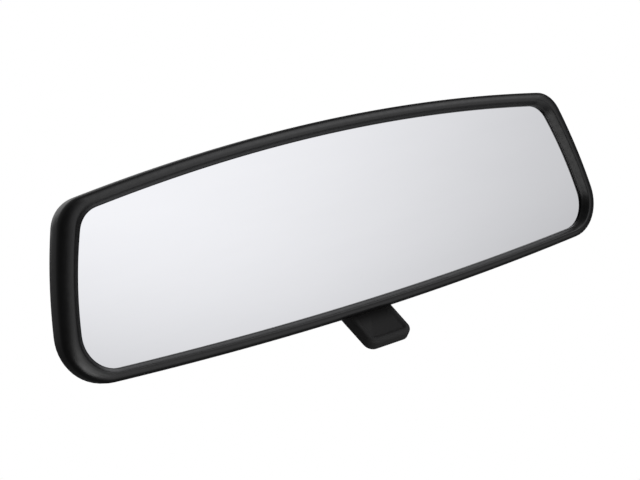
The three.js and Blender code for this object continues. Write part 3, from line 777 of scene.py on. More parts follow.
@dataclass
class MirrorHead:
    """The black shell of the head: the bezel round the glass and the housing behind it."""

    home: Home
    form: HeadForm = HeadForm()
    proud: float = 2.9  # height of the rim in front of the glass
    lip: float = 0.9  # height of the upright lip at the glass
    crest: float = 0.36  # place of the highest line, as a share of the width of the rim
    roll_steps: int = 12
    slope_shares: tuple[float, ...] = (0.92, 0.82, 0.7, 0.5, 0.3, 0.15)  # of the way up to the crest
    slope_power: float = 1.25  # how the slope leaves the crest
    slope_steepness: float = 1.12
    lip_edge: float = 0.06  # half height of the small rounding on the lip
    pocket: float = 3.0
    bezel_depth: float = 5.4
    bezel_wall: float = 2.0
    bezel_draft: float = 0.985  # how far the inside of the bezel closes towards the joint
    joint_gap: float = 0.35
    joint_edge: float = 0.25
    joint_draw: tuple[float, float] = (0.9975, 0.993)  # how far both edges at the joint turn in
    housing_wall: float = 2.2
    slot_half: float = 11.1
    slot_front: float = 0.6
    slot_back: float = 18.0
    slot_top: float = -23.6
    slot_corner: float = 1.2
    hole_radius: float = 9.0
    hole_flare: float = 2.4  # growth of the hole at its mouth
    hole_mouth: float = 1.2  # depth of that flare
    ribs: tuple[float, ...] = (65.8, 95.8)
    rib_half: float = 0.8
    rib_front: float = 9.0
    rib_height: float = 18.0
    hinge_lug: float = 28.3
    hinge_lug_half: float = 4.0
    lever_lug_half: float = 3.6
    lever_lug_top: float = 3.4
    hinge_bore: tuple[float, float] = (1.65, 40.0)  # radius and half length
    lever_bore: tuple[float, float] = (1.35, 16.0)
    past: float = 5.0  # length that cutters and trimmed shapes run past what they meet

    def rim(self, share: float, y: float) -> list[Vector]:
        """A ring on the front of the rim, between the opening (0) and the widest outline (1)."""
        return ring_at([a.lerp(b, share) for a, b in zip(OPENING.points(), HEAD.points())], y)

    def turned_in(self, ring: Sequence[Vector], y: float) -> list[Vector]:
        """The softened edge at the joint between the bezel and the housing."""
        across, up = self.joint_draw
        return [Vector((p.x * across, y, p.z * up)) for p in ring]

    def slot(self) -> BMesh:
        """The cutter for the slot that the lever swings in."""
        low = Vector((-self.slot_half, self.slot_front, -HEAD.bottom - self.past))
        high = Vector((self.slot_half, self.slot_back, self.slot_top))
        cutter = block(low, high)
        return softened(cutter, edges_along(cutter, Z_AXIS), self.slot_corner, 5)

    def bezel(self) -> bpy.types.Object:
        """The front frame: rolled outer edge, crowned front, upright lip at the glass, open behind."""
        edges = HEAD.points()
        back = [self.form.angle_at(e, self.bezel_depth - self.joint_edge, 0.0) for e in edges]
        flank = [[self.form.point(e, a * s, 0.0) for e, a in zip(edges, back)] for s in (1, 0.75, 0.5, 0.25)]
        roll = []
        for i in range(self.roll_steps + 1):
            turn = math.pi / 2 * i / self.roll_steps
            share = mix(self.crest, 1.0, math.cos(turn))
            roll.append(self.rim(share, mix(self.form.widest, -self.proud, math.sin(turn))))
        slope = []
        for share in self.slope_shares:
            fall = (1 - share) ** self.slope_power * self.slope_steepness
            drop = min(fall, 1.0) * (self.proud - self.lip)
            slope.append(self.rim(self.crest * share, drop - self.proud))
        lip = [
            self.rim(0.025, -self.lip - self.lip_edge),
            self.rim(0.008, -self.lip + self.lip_edge),
            ring_at(OPENING.points(), -self.lip + 0.3),
            ring_at(OPENING.points(), -GAP),
        ]
        ledge = OPENING.points(GLASS_OVERLAP + GAP)
        inside = HEAD.points(-self.bezel_wall)
        rear = [
            ring_at(ledge, -GAP),
            ring_at(ledge, self.pocket),
            ring_at(inside, self.pocket),
            ring_at([p * self.bezel_draft for p in inside], self.bezel_depth),
        ]
        at_joint = self.turned_in(flank[0], self.bezel_depth)
        shell = loft([at_joint, *flank, *roll, *slope, *lip, *rear], closed=True)
        shell = combined(shell, self.slot(), Operation.CUT)
        return self.home.settle("bezel", shell, HEAD_PLASTIC, "black_plastic", ["front_bezel"])

    def fittings(self) -> BMesh:
        """Ribs behind the foam and the lugs that hold the two pins, trimmed to the inside of the wall."""
        deep = self.form.depth + self.past
        solids = []
        for x in self.ribs:
            for side in (-1, 1):
                low = (side * x - self.rib_half, self.rib_front, -self.rib_height)
                solids.append(block(low, (side * x + self.rib_half, deep, self.rib_height)))
        for side in (-1, 1):
            near, far = sorted((side * self.hinge_lug, side * (self.hinge_lug + LUG)))
            y, z, half = HINGE.y, HINGE.z, self.hinge_lug_half
            solids.append(block((near, y - half, z - half), (far, deep, z + half)))
            near, far = sorted((side * self.slot_half, side * (self.slot_half + LUG)))
            y, z, half = LEVER_PIN.y, LEVER_PIN.z, self.lever_lug_half
            low = (near, y - half, -HEAD.bottom - self.past)
            solids.append(block(low, (far, y + half, z + self.lever_lug_top)))
        inner = loft(self.form.rings(self.bezel_depth + 1, BACK_STATIONS, self.housing_wall / 2))
        body = solids[0]
        for solid in solids[1:]:
            body = combined(body, solid, Operation.JOIN)
        return combined(body, inner, Operation.KEEP_COMMON)

    def housing(self, stud_height: float) -> bpy.types.Object:
        """The rounded back with its wall, its fittings, the lever slot and the hole for the stud.

        Args:
            stud_height: Height of the stud where it leaves the back.

        Returns:
            The housing.
        """
        start = self.bezel_depth + self.joint_gap
        outer = self.form.rings(start, BACK_STATIONS)
        inner = self.form.rings(start, BACK_STATIONS, self.housing_wall)
        softer = self.turned_in(outer[0], start)
        outer[0] = self.form.rings(start + self.joint_edge, [0.0])[0]
        shell = loft([*outer[::-1], softer, *inner])
        shell = combined(shell, self.fittings(), Operation.JOIN)
        shell = combined(shell, self.slot(), Operation.CUT)
        wide = self.hole_radius + self.hole_flare
        start, end = self.bezel_depth + self.past, self.form.depth + self.past
        hole = [
            Corner(0, start), Corner(self.hole_radius, start),
            Corner(self.hole_radius, self.form.depth - self.hole_mouth),
            Corner(wide, self.form.depth + self.hole_mouth), Corner(wide, end), Corner(0, end),
        ]
        shell = combined(shell, moved(turned(hole), shift(z=stud_height)), Operation.CUT)
        for at, (radius, half) in ((HINGE, self.hinge_bore), (LEVER_PIN, self.lever_bore)):
            cutter = moved(rod(radius, -half, half), Matrix.Translation(at) @ ALONG_X)
            shell = combined(shell, cutter, Operation.CUT)
        return self.home.settle("housing", shell, HEAD_PLASTIC, "black_plastic", ["rear_housing"])


@dataclass
class GlassPack:
    """The wedge glass, its silvering and the foam behind it."""

    home: Home
    thin: float = 2.0
    wedge: float = 2.8  # degrees between its faces
    arris: float = 0.35
    foam_inset: float = 9.0
    foam_front: float = 0.9  # behind the glass
    foam: float = 1.6
    foam_edge: tuple[tuple[float, float], ...] = ((0.0, 0.5), (0.35, 0.12), (1.2, 0.0))  # insets and depths

    def back_of(self, z: float) -> float:
        """Depth of the back of the glass at a height."""
        return self.thin + (z + OPENING.bottom + GLASS_OVERLAP) * math.tan(math.radians(self.wedge))

    def glass(self) -> bpy.types.Object:
        """The glass with ground edges."""
        edge = OPENING.points(GLASS_OVERLAP)
        ground = OPENING.points(GLASS_OVERLAP - self.arris)
        behind = [Vector((p.x, self.back_of(p.y) - self.arris, p.y)) for p in edge]
        back = [Vector((p.x, self.back_of(p.y), p.y)) for p in ground]
        rings = [ring_at(ground, 0), ring_at(edge, self.arris), behind, back]
        return self.home.settle("glass", loft(rings), MIRROR, "mirror", ["mirror_glass"], 20)

    def foam_sheet(self) -> bpy.types.Object:
        """The foam that presses on the glass, thinner towards its edges."""
        def ring(share: float, depth: float) -> list[Vector]:
            outline = OPENING.points(-self.foam_inset - share)
            return [Vector((p.x, self.back_of(p.y) + self.foam_front + depth, p.y)) for p in outline]

        front = [ring(share, rise) for share, rise in reversed(self.foam_edge)]
        back = [ring(share, self.foam - rise) for share, rise in self.foam_edge]
        sheet = loft([*front, *back])
        piece = self.home.settle("foam_sheet", sheet, FOAM, "foam", ["foam_pad"], 60)
        return piece

    def silvering(self) -> bpy.types.Object:
        """The painted silvering, which keeps its CAD shape."""
        node = frame["nodes"]["silver_backing"]
        node.material_slots[0].link = "OBJECT"
        node.material_slots[0].material = SILVERING.material()
        log.info("silver_backing: carried over")
        return node


@dataclass
class DayNightLever:
    """The finger lever under the head, with the nose that tips the bracket."""

    home: Home
    pin_home: Home
    width: float = 20.4
    root: float = 5.6
    tip: float = 4.8
    reach: float = 27.0
    slope: float = 47.0
    corner: float = 3.6
    edge: float = 1.2
    crank: float = 3.911
    lead: float = 23.5  # degrees that the nose leans back
    nose_radius: float = 1.2
    nose_neck: float = 0.7  # half thickness of the web that carries the nose
    nose_inset: float = 1.6
    nose_edge: float = 0.3
    pin_radius: float = 1.2
    pin_edge: float = 0.2
    pin_past: float = 5.5  # length of the pin past each side of the lever
    clearance: float = 0.15
    hub_steps: int = 16
    # insets and drops of the hollow for the finger
    dish: tuple[tuple[float, float], ...] = ((0.5, 0.0), (0.4, -0.12), (0.6, -0.5), (0.4, -0.12))

    def blade(self) -> BMesh:
        """The flat of the lever with its round hub, along -Y, with a dished face for the finger."""
        hub, tip = self.root / 2, self.tip / 2
        bearings = [math.pi * (0.5 - i / self.hub_steps) for i in range(self.hub_steps + 1)]
        outline = [(hub * math.cos(a), hub * math.sin(a)) for a in bearings]
        outline += [(-self.reach, -tip), (-self.reach, tip)]
        bm = bmesh.new()
        side = bm.faces.new([bm.verts.new((-self.width / 2, y, z)) for y, z in outline])
        made = bmesh.ops.extrude_face_region(bm, geom=[side])["geom"]
        far = [v for v in made if isinstance(v, bmesh.types.BMVert)]
        bmesh.ops.translate(bm, vec=(self.width, 0, 0), verts=far)
        bmesh.ops.recalc_face_normals(bm, faces=bm.faces)
        softened(bm, [e for e in edges_along(bm, Z_AXIS) if e.verts[0].co.y < -1], self.corner, 10)
        softened(bm, sharp_edges(bm, 60), self.edge, 5)
        top = max(bm.faces, key=lambda f: f.calc_area() if f.normal.z > 0.9 else 0.0)
        for thickness, depth in self.dish:
            bmesh.ops.inset_region(bm, faces=[top], thickness=thickness, depth=depth, use_even_offset=True)
        return bm

    def lever(self) -> bpy.types.Object:
        """The lever: blade, hub, web and nose in one moulding."""
        body = moved(self.blade(), turn_x(self.slope))
        lean = turn_x(-self.lead)
        half = self.width / 2 - self.nose_inset
        web = block((-half, -self.nose_neck, 0), (half, self.nose_neck, self.crank))
        body = combined(body, moved(web, lean), Operation.JOIN)
        nose = rod(self.nose_radius, -half, half, self.nose_edge)
        nose = moved(nose, lean @ shift(z=self.crank) @ ALONG_X)
        body = combined(body, nose, Operation.JOIN)
        hole = moved(rod(self.pin_radius + self.clearance, -self.width, self.width), ALONG_X)
        body = combined(body, hole, Operation.CUT)
        return self.home.settle("finger_lever", body, LEVER_PLASTIC, "lever_plastic", ["day_night_lever"])

    def pin(self) -> bpy.types.Object:
        """The steel pin that the lever swings on."""
        half = self.width / 2 + self.pin_past
        pin = moved(rod(self.pin_radius, -half, half, self.pin_edge), ALONG_X)
        return self.pin_home.settle("lever_axle", pin, STEEL, "steel", ["lever_pin"])


class Facing(Enum):
    """Which way a ball joint points along the arm."""

    HEAD = 0.0
    WINDSCREEN = 180.0


@dataclass
class BallJoint:
    """A ball stud in a split nylon liner and a seat, about the centre of the ball at the origin."""

    place: Matrix
    facing: Facing
    ball: float = 7.0
    neck: float = 3.1
    liner: tuple[float, float] = (7.3, 8.25)
    seat: tuple[float, float] = (8.55, 9.65)
    seat_length: float = 11.5
    spigot: tuple[float, float] = (3.9, 2.0)
    lip_angle: float = 56.0
    slit: tuple[float, float] = (0.5, 1.5)  # half width, and distance from the middle of the ball
    slit_turn: float = 0.4
    shank: float = 2.5
    flange: tuple[float, float] = (5.8, 1.8)
    neck_flare: float = 1.6

    @property
    def turned_place(self) -> Matrix:
        """The frame of the joint, whose +Y points from the mouth of the socket into the arm."""
        return self.place @ turn_x(self.facing.value)

    def stud(self, name: str, body: str, node: str, flange_at: float, shank_end: float) -> bpy.types.Object:
        """The ball with its neck, flange and shank.

        Args:
            name: Name of the piece.
            body: Body that it rides on.
            node: CAD node that it stands for.
            flange_at: Distance of the flange from the ball.
            shank_end: Distance of the end of the shank.

        Returns:
            The stud.
        """
        neck_angle = math.degrees(math.asin(self.neck / self.ball))
        back = flange_at + self.flange[1]
        corners = [
            Corner(0, -shank_end),
            Corner(self.shank, -shank_end, 0.4),
            Corner(self.shank, -back),
            Corner(self.flange[0], -back, 0.3),
            Corner(self.flange[0], -flange_at, 0.5),
            Corner(self.neck + 0.5, -flange_at, 0.45),
            Corner(self.neck, -flange_at + self.neck_flare, 0.6),
            *arc(self.ball, neck_angle - 90, 90, 40),
        ]
        home = Home(self.turned_place, body)
        return home.settle(name, turned(corners), STEEL, "steel", [node])

    def liner_shell(self, name: str, body: str, node: str) -> bpy.types.Object:
        """The thin nylon shell on the ball, slit in four places at its lip."""
        lip = self.lip_angle - 90
        inner = arc(self.liner[0], 90, lip, 30)
        outer = arc(self.liner[1], lip, 90, 30)
        shell = turned([*inner, *outer])
        half, start = self.slit
        for quarter in range(4):
            slit = block((self.neck, -self.seat[1], -half), (self.seat[1], -start, half))
            turn = Matrix.Rotation(math.pi / 2 * quarter + self.slit_turn, 4, "Y")
            shell = combined(shell, moved(slit, turn), Operation.CUT)
        return Home(self.turned_place, body).settle(name, shell, NYLON, "nylon", [node])

    def seat_cup(self, name: str, body: str, node: str) -> bpy.types.Object:
        """The seat that the spring pushes on to the ball."""
        lip = self.lip_angle - 90
        corners = [
            *arc(self.seat[0], 90, lip, 30),
            *arc(self.seat[1], lip, 0, 16),
            Corner(self.seat[1], self.seat_length, 0.5),
            Corner(self.spigot[0], self.seat_length, 0.3),
            Corner(self.spigot[0], self.seat_length + self.spigot[1], 0.4),
            Corner(0, self.seat_length + self.spigot[1]),
        ]
        return Home(self.turned_place, body).settle(name, turned(corners), NYLON, "nylon", [node])


@dataclass
class Arm:
    """The steel tube between the two balls, swaged over them, and the spring inside it."""

    home: Home
    length: float
    inside: float = 9.95
    outside: float = 11.25
    waist: float = 9.2
    shoulder_start: float = 16.0
    shoulder: float = 4.0
    lip_angle: float = 56.0
    coil: float = 5.5
    wire: float = 0.7
    turns: int = 6
    spring_start: float = 12.7

    def half(self, radius: float, waist: float, lip_trim: float) -> list[Corner]:
        """Half of one side of the wall, from the lip to the waist."""
        return [
            *arc(radius, self.lip_angle - 90 + lip_trim, 0, 20),
            Corner(radius, self.shoulder_start, 2.0),
            Corner(waist, self.shoulder_start + self.shoulder, 1.8),
        ]

    def over(self, corners: Sequence[Corner]) -> list[Corner]:
        """The same corners at the other end, in reverse."""
        return [Corner(c.radius, self.length - c.along, c.rounding) for c in reversed(corners)]

    def tube(self) -> bpy.types.Object:
        """The tube with its narrow waist and its lips closed over the balls."""
        wall = self.outside - self.inside
        outer = self.half(self.outside, self.waist, 0.8)
        inner = self.half(self.inside, self.waist - wall, 0.8)
        outside = [*outer, *self.over(outer)]
        within = [*inner, *self.over(inner)]
        body = turned([*outside, *reversed(within)], closed=True)
        return self.home.settle("arm_sleeve", body, BLACK_STEEL, "black_steel", ["arm_tube"])

    def spring(self) -> bpy.types.Object:
        """The coil spring, a wire section swept round and along at once."""
        bm = bmesh.new()
        along = self.length - 2 * self.spring_start
        circle = Matrix.Translation((self.coil, self.spring_start, 0))
        bmesh.ops.create_circle(bm, cap_ends=True, radius=self.wire, segments=12, matrix=circle)
        steps = self.turns * 48
        bmesh.ops.spin(
            bm, geom=[*bm.verts, *bm.edges, *bm.faces], cent=(0, 0, 0), axis=Y_AXIS,
            dvec=(0, along / steps, 0), angle=2 * math.pi * self.turns, steps=steps,
        )
        bmesh.ops.recalc_face_normals(bm, faces=bm.faces)
        return self.home.settle("coil_spring", bm, STEEL, "steel", ["arm_spring"])


@dataclass
class TiltBracket:
    """The cast bracket on the head's stud, which the head tips on, with its small parts."""

    home: Home
    stud_home: Home
    ball_distance: float  # from the ball to the middle of the plate, along the stud
    boss: tuple[float, float] = (2.2, 3.6)  # from the middle of the plate to its front and its back
    pin_radius: float = 1.5
    pin_clearance: float = 0.15
    pin_half: float = 35.9
    clip_at: float = 33.6
    clip_thickness: float = 0.8
    clip_radius: float = 3.0
    bumper: Vector = Vector((9, 2, 12))
    bumper_offset: float = 17.0
    bumper_drop: float = 19.0
    plate: float = 3.0
    washer: tuple[float, float] = (5.0, 0.8)
    nut: tuple[float, float] = (8.0, 2.2)
    nut_chamfer: tuple[float, float] = (0.6, 0.5)
    shank: float = 2.65
    shank_past: float = 0.4  # length of the shank past the nut
    casting_edge: float = 0.45

    @property
    def flange_back(self) -> float:
        """Distance from the ball to the back of the stud's flange."""
        return self.ball_distance - self.boss[1] - GAP

    @property
    def washer_at(self) -> float:
        """Distance from the ball to the washer."""
        return self.ball_distance + self.boss[0] + GAP

    @property
    def shank_end(self) -> float:
        """Distance from the ball to the end of the stud's shank."""
        return self.washer_at + self.washer[1] + GAP + self.nut[1] + self.shank_past

    def casting(self) -> bpy.types.Object:
        """The casting: the CAD shape with its edges rounded."""
        bm = bmesh.new()
        bm.from_mesh(frame["nodes"]["toggle_bracket"].data)
        bmesh.ops.remove_doubles(bm, verts=bm.verts, dist=1e-6)
        moved(bm, Matrix.Diagonal((1 / MM, 1 / MM, 1 / MM, 1)))
        bmesh.ops.dissolve_limit(bm, angle_limit=math.radians(1), verts=bm.verts, edges=bm.edges)
        softened(bm, sharp_edges(bm, 50), self.casting_edge, 2)
        home = Home(Matrix.Identity(4), self.home.body)
        return home.settle("bracket_casting", bm, ZINC, "zinc", ["toggle_bracket"], 50)

    def pin(self) -> bpy.types.Object:
        """The pin that the head tips on."""
        pin = rod(self.pin_radius, -self.pin_half, self.pin_half, 0.3)
        moved(pin, Matrix.Translation(HINGE) @ ALONG_X)
        return self.home.settle("hinge_axle", pin, STEEL, "steel", ["bracket_hinge_pin"])

    def clip(self, name: str, side: int, node: str) -> bpy.types.Object:
        """A spring clip at one end of the pin, open at the bottom."""
        start, end = sorted((side * self.clip_at, side * (self.clip_at + self.clip_thickness)))
        inside = self.pin_radius + self.pin_clearance
        ring = [
            Corner(inside, start), Corner(self.clip_radius, start, 0.15),
            Corner(self.clip_radius, end, 0.15), Corner(inside, end),
        ]
        body = moved(turned(ring, closed=True), Matrix.Translation(HINGE) @ ALONG_X)
        y, z = HINGE.y, HINGE.z
        mouth = block((start - 1, y - 1, z - self.clip_radius - 1), (end + 1, y + 1, z - 0.5))
        body = combined(body, mouth, Operation.CUT)
        return self.home.settle(name, body, BLACK_STEEL, "black_steel", [node])

    def bumper_pad(self, name: str, side: int, node: str) -> bpy.types.Object:
        """A rubber bumper on the back of the bracket."""
        y = HINGE.y + self.plate / 2 + GAP + self.bumper.y / 2
        middle = Vector((side * self.bumper_offset, y, HINGE.z - self.bumper_drop))
        pad = plate(self.bumper, middle, Y_AXIS, 2.0, 0.5)
        return self.home.settle(name, pad, BUMPER_RUBBER, "rubber", [node])

    def fasteners(self) -> list[bpy.types.Object]:
        """The washer and the nut on the shank of the stud."""
        near = -self.washer_at - self.washer[1]
        ring = [
            Corner(self.shank, near), Corner(self.washer[0], near, 0.15),
            Corner(self.washer[0], -self.washer_at, 0.15), Corner(self.shank, -self.washer_at),
        ]
        washer = self.stud_home.settle("washer", turned(ring, closed=True), STEEL, "steel", ["stud_washer"])
        top = near - GAP
        low = top - self.nut[1]
        nut = hexagon(self.nut[0], low, top)
        across, along = self.nut_chamfer
        dome = self.nut[0] / math.sqrt(3)
        crown = [
            Corner(0, low), Corner(dome - across, low), Corner(dome + 0.1, low + along),
            Corner(dome + 0.1, top), Corner(0, top),
        ]
        nut = combined(nut, turned(crown), Operation.KEEP_COMMON)
        nut = combined(nut, rod(self.shank, low - self.nut[1], top + self.nut[1]), Operation.CUT)
        return [washer, self.stud_home.settle("nut", nut, STEEL, "steel", ["stud_nut"])]


@dataclass
class WindscreenMount:
    """The bonded plate, the shoe that slides over it and the screw that locks it. +Z is the glass normal."""

    home: Home
    button: Vector = Vector((22, 27, 4))
    button_corner: float = 4.0
    shoe_side: float = 4.0
    shoe_end: float = 2.0
    shoe_thickness: float = 6.8
    shoe_corner: float = 5.0
    recess: float = 0.8
    boss: float = 6.8
    boss_root: float = 1.5  # depth that the boss runs into the shoe
    shank: float = 2.65
    shank_length: float = 8.0
    stud_start: float = 12.4
    flange: float = 1.8
    past: float = 20.0  # length that cutters and trimmed shapes run past what they meet
    screw: float = 2.5
    screw_offset: float = 9.5
    screw_sunk: float = 0.4  # below the mouth of its bore
    hex_across: float = 2.6
    hex_depth: float = 2.2

    @property
    def shoe_top(self) -> float:
        """Height of the floor of the pocket in the shoe."""
        return -self.button.z - GAP

    @property
    def shank_end(self) -> float:
        """Distance from the ball to the end of the stud's shank."""
        return self.stud_start + self.flange + self.shank_length

    def bonded_plate(self) -> bpy.types.Object:
        """The metal plate that is bonded to the windscreen."""
        body = plate(self.button, Vector((0, 0, -self.button.z / 2)), Z_AXIS, self.button_corner, 0.35)
        return self.home.settle("bonded_plate", body, ZINC, "zinc", ["windscreen_button"])

    def shoe(self, ball: Matrix) -> bpy.types.Object:
        """The shoe with its pocket, boss and two bores.

        Args:
            ball: The frame of the mount ball, seen from the mount.

        Returns:
            The shoe.
        """
        low = self.shoe_top - self.shoe_thickness
        wide, long = self.button.x + 2 * self.shoe_side, self.button.y + 2 * self.shoe_end
        size = Vector((wide, long, -self.recess - low))
        body = plate(size, Vector((0, 0, (low - self.recess) / 2)), Z_AXIS, self.shoe_corner, 1.0)
        reach, past = self.stud_start + self.flange + GAP, self.past
        collar = [
            Corner(0, reach), Corner(self.boss, reach, 0.8),
            Corner(self.boss, reach + past), Corner(0, reach + past),
        ]
        under = block((-wide, -long, low - past), (wide, long, low + self.boss_root))
        boss = combined(moved(turned(collar), ball), under, Operation.KEEP_COMMON)
        body = combined(body, boss, Operation.JOIN)
        half = self.button / 2 + Vector((GAP, GAP, 0))
        pocket = block((-half.x, -half.y, self.shoe_top), (half.x, half.y, 1))
        softened(pocket, edges_along(pocket, Z_AXIS), self.button_corner + GAP, 8)
        body = combined(body, pocket, Operation.CUT)
        body = combined(body, moved(rod(self.shank, reach - 2, reach + 9), ball), Operation.CUT)
        hole = moved(rod(self.screw + GAP, -past, past), shift(y=-self.screw_offset) @ ALONG_Z)
        body = combined(body, hole, Operation.CUT)
        return self.home.settle("shoe", body, BLACK_STEEL, "black_steel", ["mount_shoe"])

    def locking_screw(self) -> bpy.types.Object:
        """The set screw with its hexagon socket."""
        length = self.shoe_thickness - self.screw_sunk
        mouth = self.shoe_top - length
        body = moved(rod(self.screw, mouth, self.shoe_top, 0.4), ALONG_Z)
        socket = moved(hexagon(self.hex_across, mouth - 1, mouth + self.hex_depth), ALONG_Z)
        body = moved(combined(body, socket, Operation.CUT), shift(y=-self.screw_offset))
        return self.home.settle("locking_screw", body, STEEL, "steel", ["shoe_set_screw"])


# ---------------------------------------------------------------- studio


@dataclass(frozen=True)
class Glow:
    """A soft bright or dark patch of the studio, seen in one direction."""

    towards: tuple[float, float, float]
    inner: float  # degrees from its middle that it stays full
    outer: float  # degrees from its middle where it ends
    strength: float


@dataclass(frozen=True)
class Lamp:
    """A soft square light."""

    name: str
    offset: tuple[float, float, float]  # from the middle of the head, in metres
    side: float
    watts: float


VIEW_CENTRE = Vector((-0.01678, 0, -0.005316))  # what the camera looks at, from the middle of the head


@dataclass
class Studio:
    """Camera, pale floor, surroundings and lights."""

    middle: Vector
    azimuth: float = 37.045
    elevation: float = 2.56
    roll: float = 13.526
    distance: float = 0.5367
    lens: float = 85.0
    floor_drop: float = 0.22
    floor_side: float = 8.0
    surround: float = 0.06
    glows: tuple[Glow, ...] = (
        Glow((0.39, -0.90, 0.19), 0, 29.5, 0.45),
        Glow((0.63, -0.74, 0.24), 16, 30.5, 0.59),
        Glow((0.60, -0.44, 0.67), 6, 27, 1.5),
        Glow((-0.35, 0.54, 0.76), 8, 68, 0.2),
        Glow((0.42, -0.60, -0.68), 12, 37, 0.75),
    )
    lamps: tuple[Lamp, ...] = (
        Lamp("low_front", (-0.06, -0.38, -0.14), 0.2, 0.24),
        Lamp("low_left", (-0.15, -0.21, -0.19), 0.14, 0.2),
        Lamp("back_high", (0.15, 0.7, 0.5), 0.8, 1.2),
    )

    def camera(self) -> bpy.types.Object:
        """The camera, level with the head and to its left, rolled about its line of sight."""
        azimuth, elevation = math.radians(self.azimuth), math.radians(self.elevation)
        level = Vector((-math.sin(azimuth), -math.cos(azimuth), 0))
        back = level * math.cos(elevation) + Z_AXIS * math.sin(elevation)
        data = bpy.data.cameras.new("camera")
        data.lens = self.lens
        data.sensor_width = 36.0
        data.clip_start = 0.01
        camera = bpy.data.objects.new("camera", data)
        bpy.context.scene.collection.objects.link(camera)
        turn = (-back).to_track_quat("-Z", "Y").to_matrix().to_4x4()
        rolled = turn @ Matrix.Rotation(-math.radians(self.roll), 4, "Z")
        camera.matrix_world = Matrix.Translation(self.middle + back * self.distance) @ rolled
        bpy.context.scene.camera = camera
        return camera

    @staticmethod
    def white_to_the_eye(tree: bpy.types.NodeTree, lit: bpy.types.Node, seen: bpy.types.Node,
                         output: bpy.types.Node) -> None:
        """Shows plain white to the camera, and the lit shader to everything else.

        Args:
            tree: The nodes.
            lit: The shader that lights and is reflected.
            seen: The shader that the camera sees, which is made white.
            output: The output of the tree.
        """
        seen.inputs["Color"].default_value = (1, 1, 1, 1)
        rays = tree.nodes.new("ShaderNodeLightPath")
        choice = tree.nodes.new("ShaderNodeMixShader")
        tree.links.new(rays.outputs["Is Camera Ray"], choice.inputs["Fac"])
        tree.links.new(lit.outputs[0], choice.inputs[1])
        tree.links.new(seen.outputs[0], choice.inputs[2])
        tree.links.new(choice.outputs["Shader"], output.inputs["Surface"])

    def floor(self) -> bpy.types.Object:
        """The plain pale floor."""
        bm = bmesh.new()
        bmesh.ops.create_grid(bm, x_segments=4, y_segments=4, size=self.floor_side / 2)
        moved(bm, Matrix.Translation((0, 0, self.middle.z - self.floor_drop)))
        mesh = bpy.data.meshes.new("floor")
        bm.to_mesh(mesh)
        bm.free()
        floor = bpy.data.objects.new("floor", mesh)
        bpy.context.scene.collection.objects.link(floor)
        material = bpy.data.materials.new("pale_floor")
        material.use_nodes = True
        tree = material.node_tree
        surface = tree.nodes["Principled BSDF"]
        surface.inputs["Base Color"].default_value = (0.5, 0.5, 0.5, 1)
        surface.inputs["Roughness"].default_value = 0.9
        seen = tree.nodes.new("ShaderNodeEmission")
        self.white_to_the_eye(tree, surface, seen, tree.nodes["Material Output"])
        mesh.materials.append(material)
        floor.visible_glossy = False
        return floor

    def surroundings(self) -> None:
        """A white tent to the eye, with soft patches of light for the surfaces to reflect."""
        world = bpy.data.worlds.new("studio")
        bpy.context.scene.world = world
        world.use_nodes = True
        tree = world.node_tree
        direction = tree.nodes.new("ShaderNodeTexCoord").outputs["Generated"]
        total = None
        for glow in self.glows:
            dot = tree.nodes.new("ShaderNodeVectorMath")
            dot.operation = "DOT_PRODUCT"
            tree.links.new(direction, dot.inputs[0])
            dot.inputs[1].default_value = Vector(glow.towards).normalized()
            fall = tree.nodes.new("ShaderNodeMapRange")
            fall.interpolation_type = "SMOOTHSTEP"
            tree.links.new(dot.outputs["Value"], fall.inputs["Value"])
            fall.inputs["From Min"].default_value = math.cos(math.radians(glow.outer))
            fall.inputs["From Max"].default_value = math.cos(math.radians(glow.inner))
            fall.inputs["To Max"].default_value = glow.strength
            adder = tree.nodes.new("ShaderNodeMath")
            adder.operation = "ADD"
            tree.links.new(fall.outputs["Result"], adder.inputs[0])
            if total is None:
                adder.inputs[1].default_value = self.surround
            else:
                tree.links.new(total, adder.inputs[1])
            total = adder.outputs["Value"]
        lit = tree.nodes["Background"]
        lit.inputs["Color"].default_value = (0.985, 0.985, 1.0, 1)
        tree.links.new(total, lit.inputs["Strength"])
        seen = tree.nodes.new("ShaderNodeBackground")
        self.white_to_the_eye(tree, lit, seen, tree.nodes["World Output"])

    def lights(self) -> None:
        """The soft lights."""
        for lamp in self.lamps:
            data = bpy.data.lights.new(lamp.name, "AREA")
            data.shape = "SQUARE"
            data.size = lamp.side
            data.energy = lamp.watts
            light = bpy.data.objects.new(lamp.name, data)
            bpy.context.scene.collection.objects.link(light)
            offset = Vector(lamp.offset)
            turn = offset.to_track_quat("Z", "Y").to_matrix().to_4x4()
            light.matrix_world = Matrix.Translation(self.middle + offset) @ turn
            light.visible_camera = False

    def build(self) -> None:
        """Sets up the studio."""
        self.camera()
        self.floor()
        self.surroundings()
        self.lights()
        bpy.context.scene.view_settings.view_transform = "Standard"
        log.info("studio ready")


# ---------------------------------------------------------------- assembly


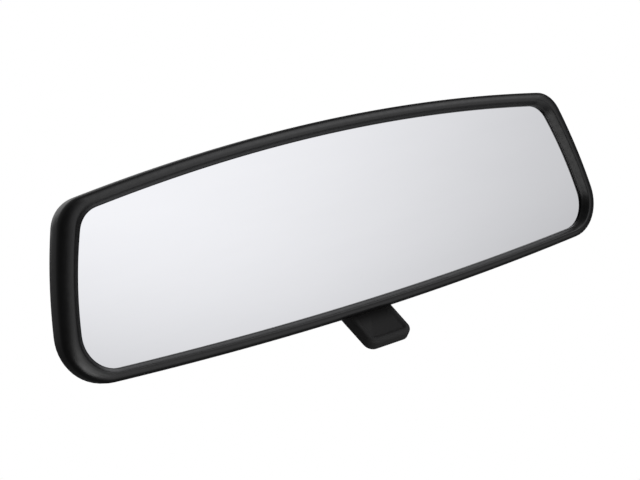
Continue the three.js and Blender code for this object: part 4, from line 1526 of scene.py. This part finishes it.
def main() -> None:
    """Builds every sub-assembly in order."""
    logging.basicConfig(level=logging.INFO, format="%(message)s")
    glass_low, glass_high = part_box("mirror_glass")
    head_middle = Vector((0, glass_low.y, glass_high.z - (OPENING.top + GLASS_OVERLAP) * MM))
    head_ball = joint_place("head_ball_roll")
    mount_ball = joint_place("mount_ball_roll")
    along = mount_ball - head_ball
    rise = math.degrees(math.atan2(along.z, along.y))
    lever_pin = joint_place("lever_flip")

    Studio(head_middle + VIEW_CENTRE).build()

    head = Matrix.Translation(head_middle)
    at_head_ball = Matrix.Translation(head_ball) @ turn_x(rise)
    at_mount_ball = Matrix.Translation(mount_ball) @ turn_x(rise)

    ball_depth = (head_ball.y - head_middle.y) / MM
    ball_height = (head_ball.z - head_middle.z) / MM
    shell = MirrorHead(Home(head, "head"))
    stud_height = ball_height - (ball_depth - shell.form.depth) * math.tan(math.radians(rise))
    shell.bezel()
    shell.housing(stud_height)

    pack = GlassPack(Home(head, "head"))
    pack.glass()
    pack.silvering()
    pack.foam_sheet()

    at_pin = Matrix.Translation(lever_pin)
    lever = DayNightLever(Home(at_pin, "lever"), Home(at_pin, "head"))
    lever.lever()
    lever.pin()

    ball_distance = (ball_depth - HINGE.y) / math.cos(math.radians(rise))
    bracket = TiltBracket(Home(head, "bracket"), Home(at_head_ball, "bracket"), ball_distance)
    bracket.casting()
    bracket.pin()
    bracket.clip("clip_left", -1, "hinge_clip_left")
    bracket.clip("clip_right", 1, "hinge_clip_right")
    bracket.bumper_pad("bumper_left", -1, "bracket_bumper_left")
    bracket.bumper_pad("bumper_right", 1, "bracket_bumper_right")
    bracket.fasteners()

    front = BallJoint(at_head_ball, Facing.HEAD)
    flange_at = bracket.flange_back - front.flange[1]
    front.stud("head_stud", "bracket", "mirror_ball_stud", flange_at, bracket.shank_end)
    front.liner_shell("front_liner", "front_liner", "front_ball_liner")
    front.seat_cup("front_seat", "front_seat", "front_ball_seat")

    arm = Arm(Home(at_head_ball, "arm"), along.length / MM)
    arm.tube()
    arm.spring()

    normal = Vector(frame["record"]["mounts"][0]["axis"])
    rake = math.degrees(math.atan2(normal.y, normal.z))
    windscreen = turn_x(-rake)
    mount = WindscreenMount(Home(windscreen, "mount"))
    rear = BallJoint(at_mount_ball, Facing.WINDSCREEN)
    rear.stud("mount_stud", "mount", "mount_ball_stud", mount.stud_start, mount.shank_end)
    rear.liner_shell("rear_liner", "rear_liner", "rear_ball_liner")
    rear.seat_cup("rear_seat", "rear_seat", "rear_ball_seat")

    mount.bonded_plate()
    from_ball = Matrix.Diagonal((1 / MM, 1 / MM, 1 / MM, 1)) @ windscreen.inverted() @ at_mount_ball
    mount.shoe(from_ball @ Matrix.Diagonal((MM, MM, MM, 1)))
    mount.locking_screw()


if __name__ == "__main__":
    main()
